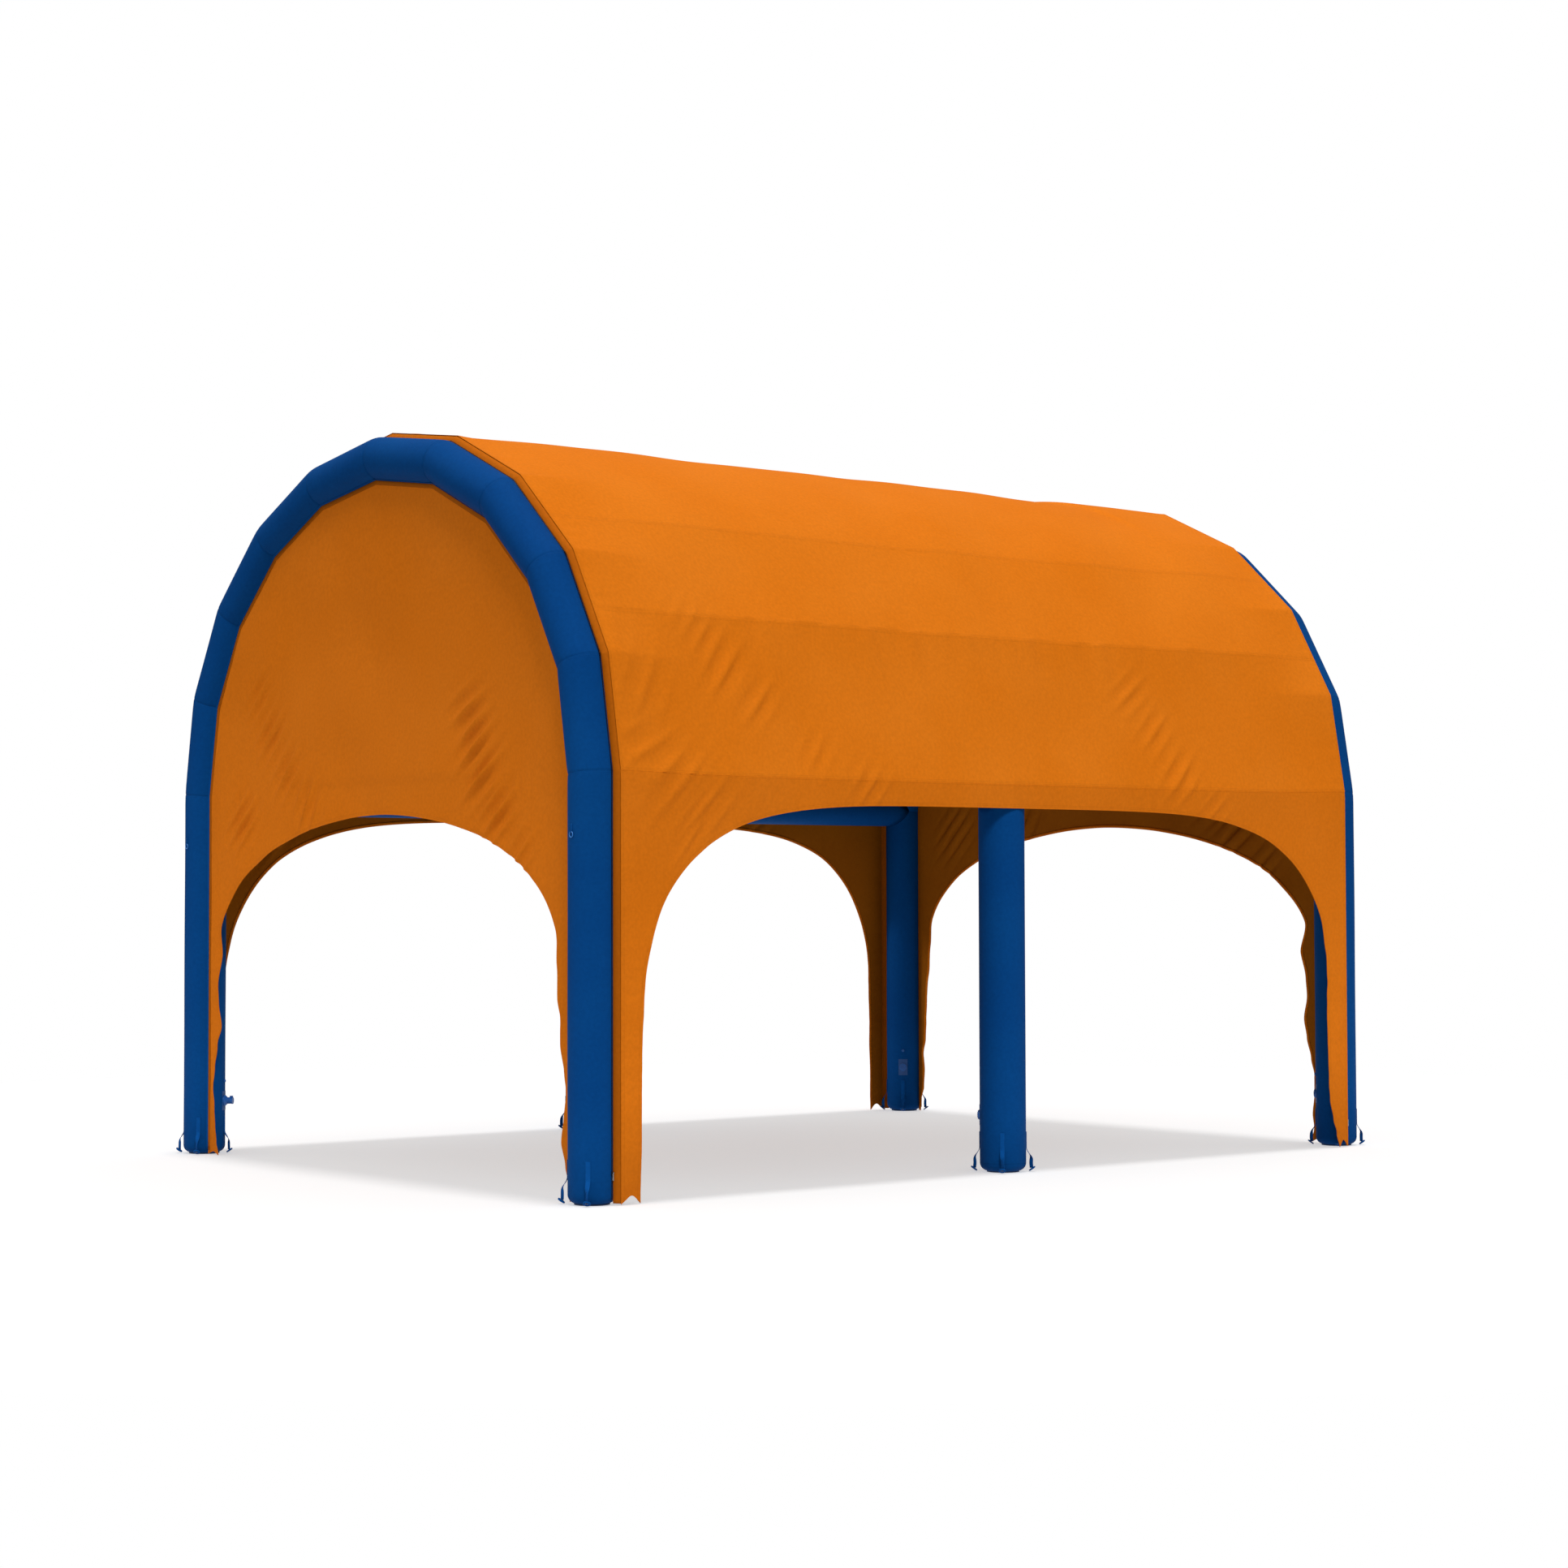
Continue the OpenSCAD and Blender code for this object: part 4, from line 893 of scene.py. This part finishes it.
def moulded(name, colour, worn, grain, rough, bump, metal=0.0, ior=1.5, spread=0.12):
    """Moulded, cast or drawn finish: a fine grain in the surface, a slow drift of tone and of gloss. grain is
    the size of its texture in metres."""
    mat, tree, shader, coord = finish(name)
    place = {"Vector": coord.outputs["Object"]}
    fine = add(tree, "ShaderNodeTexNoise", {"Scale": 1 / grain, "Detail": 3.0}, place)
    slow = add(tree, "ShaderNodeTexNoise", {"Scale": 0.06 / grain, "Detail": 4.0}, place)
    tone = add(tree, "ShaderNodeMapRange", {"From Min": 0.35, "From Max": 0.65}, {"Value": slow.outputs["Fac"]})
    tree.links.new(between_colours(tree, colour, worn, tone.outputs["Result"]), shader.inputs["Base Color"])
    gloss = add(tree, "ShaderNodeMapRange", {"From Min": 0.3, "From Max": 0.7, "To Min": rough - spread / 2,
                                             "To Max": rough + spread / 2}, {"Value": fine.outputs["Fac"]})
    tree.links.new(gloss.outputs["Result"], shader.inputs["Roughness"])
    relief = add(tree, "ShaderNodeBump", {"Strength": bump, "Distance": grain * 0.3},
                 {"Height": fine.outputs["Fac"]})
    tree.links.new(relief.outputs["Normal"], shader.inputs["Normal"])
    shader.inputs["Metallic"].default_value = metal
    if not metal:
        shader.inputs["IOR"].default_value = ior
    return mat


# Thread spacings are several times the real half millimetre, so that the weave can be seen at all.
# Coated polyester cloth, woven and proofed: matt, with a faint sheen, slightly faded on top.
canopy_cloth = woven("coated_polyester_canopy", "#d26f12", "#d67418", 0.0030, 0.66, 0.01, 0.30,
                     (0.006, 0.014), dirt_and_shade_height=0.5)
wall_cloth_finish = woven("coated_polyester_wall", "#cf6d12", "#d37117", 0.0030, 0.66, 0.01, 0.30,
                          (0.012, 0.020), dirt_and_shade_height=0.6)
# The cloth's inner face, painted darker as the shade inside the shelter.
shaded_inner_cloth = woven("inner_cloth_painted_shade", "#8a4c0c", "#93540f", 0.0030, 0.70, 0.0, 0.25)
# Heavy woven polyester sleeve round the air tubes: denser threads, a soft satin light along the tube.
sleeve_cloth = woven("woven_polyester_sleeve", "#073d79", "#09437f", 0.0034, 0.62, 0.02, 0.35,
                     (0.004, 0.010), dirt_and_shade_height=0.35)
# Grosgrain edge tape, ribbed across its width.
edge_tape = woven("grosgrain_edge_tape", "#c0640f", "#c76b15", 0.0024, 0.68, 0.01, 0.55,
                  dirt_and_shade_height=0.5, crosswise=0.5)
# The same tape where it carries the canopy's edge, painted a little darker as shade, with more painted shade lower
# down the arch.
shade_painted_flange = woven("grosgrain_tape_painted_shade", "#b25b0e", "#b9610f", 0.0024, 0.68, 0.01, 0.55,
                    dirt_and_shade_height=3.6, crosswise=0.5)
# Narrow tape that edges the end walls, painted dark as the shade between the arch and the wall.
shade_strip_cloth = woven("dark_strip_painted_shade", "#99500d", "#a2560f", 0.0024, 0.70, 0.0, 0.55, crosswise=0.5)
# Woven polyester webbing with coarse ribs, bright where it catches the light.
webbing = woven("polyester_webbing", "#094384", "#0c4b8d", 0.0022, 0.58, 0.03, 0.8, dirt_and_shade_height=0.12, crosswise=0.6)
# Black zip tape under the teeth.
zip_tape = woven("zip_tape", "#121212", "#191919", 0.0016, 0.7, 0.03, 0.5)
# Nylon zip teeth, moulded, slightly shiny.
zip_nylon = moulded("moulded_nylon_teeth", "#0e0e0f", "#1a1a1c", 0.0006, 0.34, 0.15)
# Black enamelled zinc slider.
slider_enamel = moulded("enamelled_zinc_slider", "#0c0c0d", "#222224", 0.0008, 0.28, 0.12)
# Grey acetal pull, moulded with a fine spark texture.
pull_acetal = moulded("moulded_acetal_pull", "#7d8287", "#8c9196", 0.0008, 0.45, 0.25)
# Welded steel ring in a blue powder coat: satin, with a fine orange-peel surface.
ring_coat = moulded("powder_coated_ring", "#2471bf", "#2f7cc8", 0.0010, 0.42, 0.14)
# Steel eyelet in a dark blue enamel, worn a little paler.
eyelet_enamel = moulded("enamelled_steel_eyelet", "#0a2f63", "#1c416f", 0.0008, 0.40, 0.20)
# Glass-filled nylon valve bodies and caps in the tubes' blue, moulded satin.
valve_nylon = moulded("moulded_nylon_valve", "#0c4c96", "#12569f", 0.0009, 0.40, 0.22)
# EPDM seals, black and matt.
seal_rubber = moulded("moulded_epdm_seal", "#101010", "#1b1b1b", 0.0007, 0.62, 0.30)
# Thick coated patch welded over the sleeve round each valve.
patch_film = moulded("welded_coated_patch", "#073d79", "#0a4482", 0.0016, 0.55, 0.30)
# Scuffed coated pad under each leg.
pad_vinyl = moulded("scuffed_vinyl_pad", "#0a2c5a", "#2a4163", 0.0030, 0.60, 0.40, spread=0.2)
# Polyurethane bladder film, smooth and slightly tacky.
bladder_film = moulded("polyurethane_film", "#2a5f9e", "#33689f", 0.0040, 0.30, 0.15)
# Moulded grey rubber hose.
hose_rubber = moulded("moulded_rubber_hose", "#7a7f84", "#868b90", 0.0012, 0.58, 0.30)

# ---- air tubes ----
for side, x in (("right", 1), ("left", -1)):
    beam = mirrored(beam_tube(BEAM_R, 0.0003), x)
    piece(f"eave_beam_{side}", beam, sleeve_cloth, [f"{side}_beam_sleeve"])
    lining = mirrored(beam_tube(BEAM_R - BLADDER_IN, 0.0015, False), x)
    piece(f"beam_lining_{side}", lining, bladder_film, [f"{side}_beam_bladder"])
    post = mirrored(post_tube(POST_R, FOOT_Z, FOOT_CORNER, 0.0003), x)
    piece(f"middle_post_{side}", post, sleeve_cloth, [f"{side}_post_sleeve"])
    lining = mirrored(post_tube(POST_R - BLADDER_IN, FOOT_Z + BLADDER_IN, FOOT_CORNER, 0.0040), x)
    piece(f"post_lining_{side}", lining, bladder_film, [f"{side}_post_bladder"])

for end, y in (("front", 1), ("rear", -1)):
    tube = mirrored(arch_tube(TUBE_R, FOOT_Z, FOOT_CORNER, 1.0), 1, y)
    piece(f"{end}_arch_tube", tube, sleeve_cloth, [f"{end}_arch_sleeve"])
    lining = mirrored(arch_tube(TUBE_R - BLADDER_IN, FOOT_Z + BLADDER_IN, FOOT_CORNER, 1.0), 1, y)
    piece(f"{end}_arch_lining", lining, bladder_film, [f"{end}_arch_bladder"])

# ---- canopy ----
panels = {
    "canopy_right_slope": (0.0, 44.0, 0.40),
    "canopy_crown": (44.0, 136.0, 0.62),
    "canopy_left_slope": (136.0, 180.0, 0.40),
}
for name, (low, high, step) in panels.items():
    cloth = piece(name, canopy_panel(low, high, step), canopy_cloth, ["roof_canopy"], CLOTH,
                  shaded_inner_cloth)

# ---- walls, with the tape on their doorways ----
wall_strips = {"right": (1, "side_bowed", "side_plain"), "left": (3, "side_plain", "side_plain")}
for side, x in (("right", 1), ("left", -1)):
    shape = side_shape(*wall_strips[side])
    mesh = mirrored(wall_cloth(side_point, shape, 46), x)
    tape_mesh = mirrored(binding(side_point, shape, 0.018, 0.0022), x)
    tape = piece(f"{side}_doorway_tape", tape_mesh, edge_tape, [f"{side}_doorway_binding"])
    cloth = piece(f"{side}_wall_cloth", mesh, wall_cloth_finish, [f"{side}_side_wall"], CLOTH,
                  shaded_inner_cloth)

end_strips = {"front": (5, "front_narrow", "front_curled"), "rear": (7, "rear_wide", "rear_bulged")}
for end, y in (("front", 1), ("rear", -1)):
    shape = end_shape(*end_strips[end])
    mesh = mirrored(wall_cloth(end_point, shape, 85), 1, y)
    tape_mesh = mirrored(binding(end_point, shape, 0.018, 0.0022), 1, y)
    tape = piece(f"{end}_doorway_tape", tape_mesh, edge_tape, [f"{end}_doorway_binding"])
    cloth = piece(f"{end}_wall_cloth", mesh, wall_cloth_finish, [f"{end}_end_wall"], CLOTH,
                  shaded_inner_cloth)

# ---- strips along the arches ----
strip_steps = [0, 0.004, 0.010, 0.025, 0.06, 0.12, 0.2] + list(np.arange(0.3, 1.2, 0.1))
c17, s17 = math.cos(ZIP_ANGLE), math.sin(ZIP_ANGLE)
flange_foot = np.array([ZIP_LOW * c17 - 0.009 * s17, ZIP_LOW * s17 + 0.009 * c17])
flange_bend, flange_head = (CANOPY_OUT - CLOTH - 0.0020, 0.0685), (CANOPY_OUT - CLOTH - 0.0004, 0.0790)
for end, y in (("front", 1), ("rear", -1)):
    t = np.linspace(0, 1, 13)
    belly = 0.0025 * np.sin(np.pi * np.minimum(t / 0.75, 1))
    a = np.interp(t, (0, 0.75, 1), (flange_foot[0], flange_bend[0], flange_head[0])) + belly
    b = np.interp(t, (0, 0.75, 1), (flange_foot[1], flange_bend[1], flange_head[1])) - belly
    a, b = np.concatenate([a, a[::-1] - 0.0015, a[:1]]), np.concatenate([b, b[::-1] + 0.0010, b[:1]])
    flange = mirrored(arch_strip("flange", a, b, 0.010, strip_steps, closed=True), 1, y)
    piece(f"{end}_zip_flange", flange, shade_painted_flange, [f"{end}_canopy_flange"])
    across, up = oval(0.0068, 0.0012, 10)
    lift = ZIP_LOW + 0.0007 + up
    tape = arch_strip("tape", lift * c17 - across * s17, lift * s17 + across * c17, 0.026, strip_steps,
                      closed=True)
    piece(f"{end}_zip_tape", mirrored(tape, 1, y), zip_tape, [f"{end}_canopy_zip"])
    teeth = mirrored(zip_teeth(), 1, y)
    piece(f"{end}_zip_teeth", teeth, zip_nylon, [f"{end}_canopy_zip"])
    # A dark strip along each end wall's outline: painted shade between the arch and the wall.
    across, up = oval(0.026, 0.0030, 12)
    rim = arch_strip("rim", across - WALL_IN - 0.013, up - WALL_SET - 0.0045, 0.030, strip_steps, closed=True)
    piece(f"{end}_wall_rim_shade_strip", mirrored(rim, 1, y), shade_strip_cloth)
    across, up = oval(0.014, 0.0022, 12)
    cp, sp = math.cos(-PIPING_ANGLE), math.sin(-PIPING_ANGLE)
    lift, over = TUBE_R + 0.0015 + up, across + 0.009
    piping = arch_strip("piping", lift * cp - over * sp, lift * sp + over * cp, 0.026, strip_steps, closed=True)
    piece(f"{end}_wall_piping_web", mirrored(piping, 1, y), webbing, [f"{end}_wall_piping"])

# ---- straps, tabs and guy loops ----
diagonals = [math.radians(a) for a in (45, 135, 225, 315)]
spots = [(x, y, r, a, 4 * i + j) for x, y, r, i in leg_places() for j, a in enumerate(diagonals)]
straps = joined("anchor_webbing", [anchor_strap(*s) for s in spots])
piece("anchor_webbing", straps, webbing, ["anchor_straps"])
tabs = joined("peg_tab_plates", [peg_tab(*s[:4], False) for s in spots])
piece("peg_tab_plates", tabs, webbing, ["peg_tabs"])
eyelets = joined("peg_tab_eyelets", [peg_tab(*s[:4], True) for s in spots])
piece("peg_tab_eyelets", eyelets, eyelet_enamel, ["peg_tabs"])
loop = guy_loop()
loops = joined("guy_loop_webbing", [mirrored(loop, x, y) for x in (1, -1) for y in (1, -1)])
piece("guy_loop_webbing", loops, webbing, ["guy_loops"])

# ---- finishes of the carried-over nodes ----
finish_of = {
    "wear_pads": pad_vinyl, "air_hoses": hose_rubber, "valve_patches": patch_film, "dump_valves": valve_nylon,
    "dump_seals": seal_rubber, "relief_valves": valve_nylon, "inflation_valve": valve_nylon,
    "inflation_plunger": pull_acetal, "inflation_cap": valve_nylon,
}
finish_of.update({f"{e}_{s}_{k}": m for e in ("front", "rear") for s in ("left", "right")
                  for k, m in (("ring", ring_coat), ("slider", slider_enamel), ("pull", pull_acetal))})
finish_of.update({f"{k}_dump_cap": valve_nylon for k in
                  ("front_right", "rear_left", "rear_right", "left_post", "right_post")})
for name, mat in finish_of.items():
    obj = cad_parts[name]
    if not obj.material_slots:
        obj.data.materials.append(mat)
    for slot in obj.material_slots:
        slot.material = mat


# ---- floor, light and camera ----
floor_mesh = bpy.data.meshes.new("floor")
rim = [(9.5 * math.cos(a), 9.5 * math.sin(a), 0) for a in np.linspace(0, 2 * np.pi, 97)[:-1]]
floor_mesh.from_pydata(rim, [], [range(96)])
floor = bpy.data.objects.new("floor", floor_mesh)
bpy.context.scene.collection.objects.link(floor)
floor_paint, tree, shader, coord = finish("matt_white_floor")
shader.inputs["Base Color"].default_value = linear("#e7e7e7")
shader.inputs["Emission Color"].default_value = (1, 1, 1, 1)
shader.inputs["Emission Strength"].default_value = 0.54
shader.inputs["Roughness"].default_value = 1.0
shader.inputs["Specular IOR Level"].default_value = 0.0
floor_mesh.materials.append(floor_paint)

world = bpy.data.worlds.new("studio")
bpy.context.scene.world = world
world.use_nodes = True
tree = world.node_tree
tree.nodes.clear()
direction = add(tree, "ShaderNodeSeparateXYZ", links={0: add(tree, "ShaderNodeTexCoord").outputs["Generated"]})
height = add(tree, "ShaderNodeMapRange", {"From Min": 0.0, "From Max": 1.0, "To Min": 0.10, "To Max": 0.46},
             {"Value": direction.outputs["Z"]})
seen = add(tree, "ShaderNodeLightPath")
strength = add(tree, "ShaderNodeMix", data_type="FLOAT")
tree.links.new(seen.outputs["Is Camera Ray"], strength.inputs[0])
tree.links.new(height.outputs["Result"], strength.inputs[2])
strength.inputs[3].default_value = 1.0
sky = add(tree, "ShaderNodeBackground", {"Color": (1, 1, 1, 1)}, {"Strength": strength.outputs[0]})
add(tree, "ShaderNodeOutputWorld", links={"Surface": sky.outputs[0]})


def lamp(name, kind, energy, place, aim, **settings):
    light = bpy.data.lights.new(name, kind)
    light.energy = energy
    for key, value in settings.items():
        setattr(light, key, value)
    obj = bpy.data.objects.new(name, light)
    bpy.context.scene.collection.objects.link(obj)
    way = np.array(aim, float) - np.array(place, float)
    way /= np.linalg.norm(way)
    side = np.cross(way, (0.0, 1.0, 0.01))
    side /= np.linalg.norm(side)
    up = np.cross(side, way)
    obj.matrix_world = Matrix(((side[0], up[0], -way[0], place[0]), (side[1], up[1], -way[1], place[1]),
                               (side[2], up[2], -way[2], place[2]), (0, 0, 0, 1)))
    obj.visible_camera = False
    return obj


lamp("overhead", "SUN", 0.95, (0.2, 0.1, 10), (0, 0, 0), angle=math.radians(7))
# The two side lamps light the shelter only, so that its one shadow on the floor is the overhead lamp's.
unlit = bpy.data.collections.new("floor_without_side_lamps")
unlit.objects.link(floor)
unlit.collection_objects[0].light_linking.link_state = "EXCLUDE"
for light in (lamp("right_key", "SUN", 2.1, (6.29, -2.29, 7.43), (0, 0, 0), angle=math.radians(14)),
              lamp("front_fill", "SUN", 0.92, (-3.5, -6.8, 6.4), (0, 0, 0), angle=math.radians(14))):
    light.light_linking.receiver_collection = unlit

CAMERA = (14.674, -11.802, 1.55)
AZIMUTH, PITCH, ROLL = math.radians(51.03), math.radians(2.16), math.radians(-0.14)
ahead = np.array([-math.sin(AZIMUTH) * math.cos(PITCH), math.cos(AZIMUTH) * math.cos(PITCH), math.sin(PITCH)])
level = np.array([math.cos(AZIMUTH), math.sin(AZIMUTH), 0])
upward = np.cross(level, ahead)
right_way = math.cos(ROLL) * level + math.sin(ROLL) * upward
up_way = math.cos(ROLL) * upward - math.sin(ROLL) * level
lens = bpy.data.cameras.new("camera")
lens.lens, lens.sensor_width, lens.clip_end = 69.54, 36.0, 200
camera = bpy.data.objects.new("camera", lens)
bpy.context.scene.collection.objects.link(camera)
turned = np.stack([right_way, up_way, -ahead], 1).tolist()
camera.matrix_world = Matrix([(*row, place) for row, place in zip(turned, CAMERA)] + [(0, 0, 0, 1)])
bpy.context.scene.camera = camera
bpy.context.scene.view_settings.view_transform = "Standard"
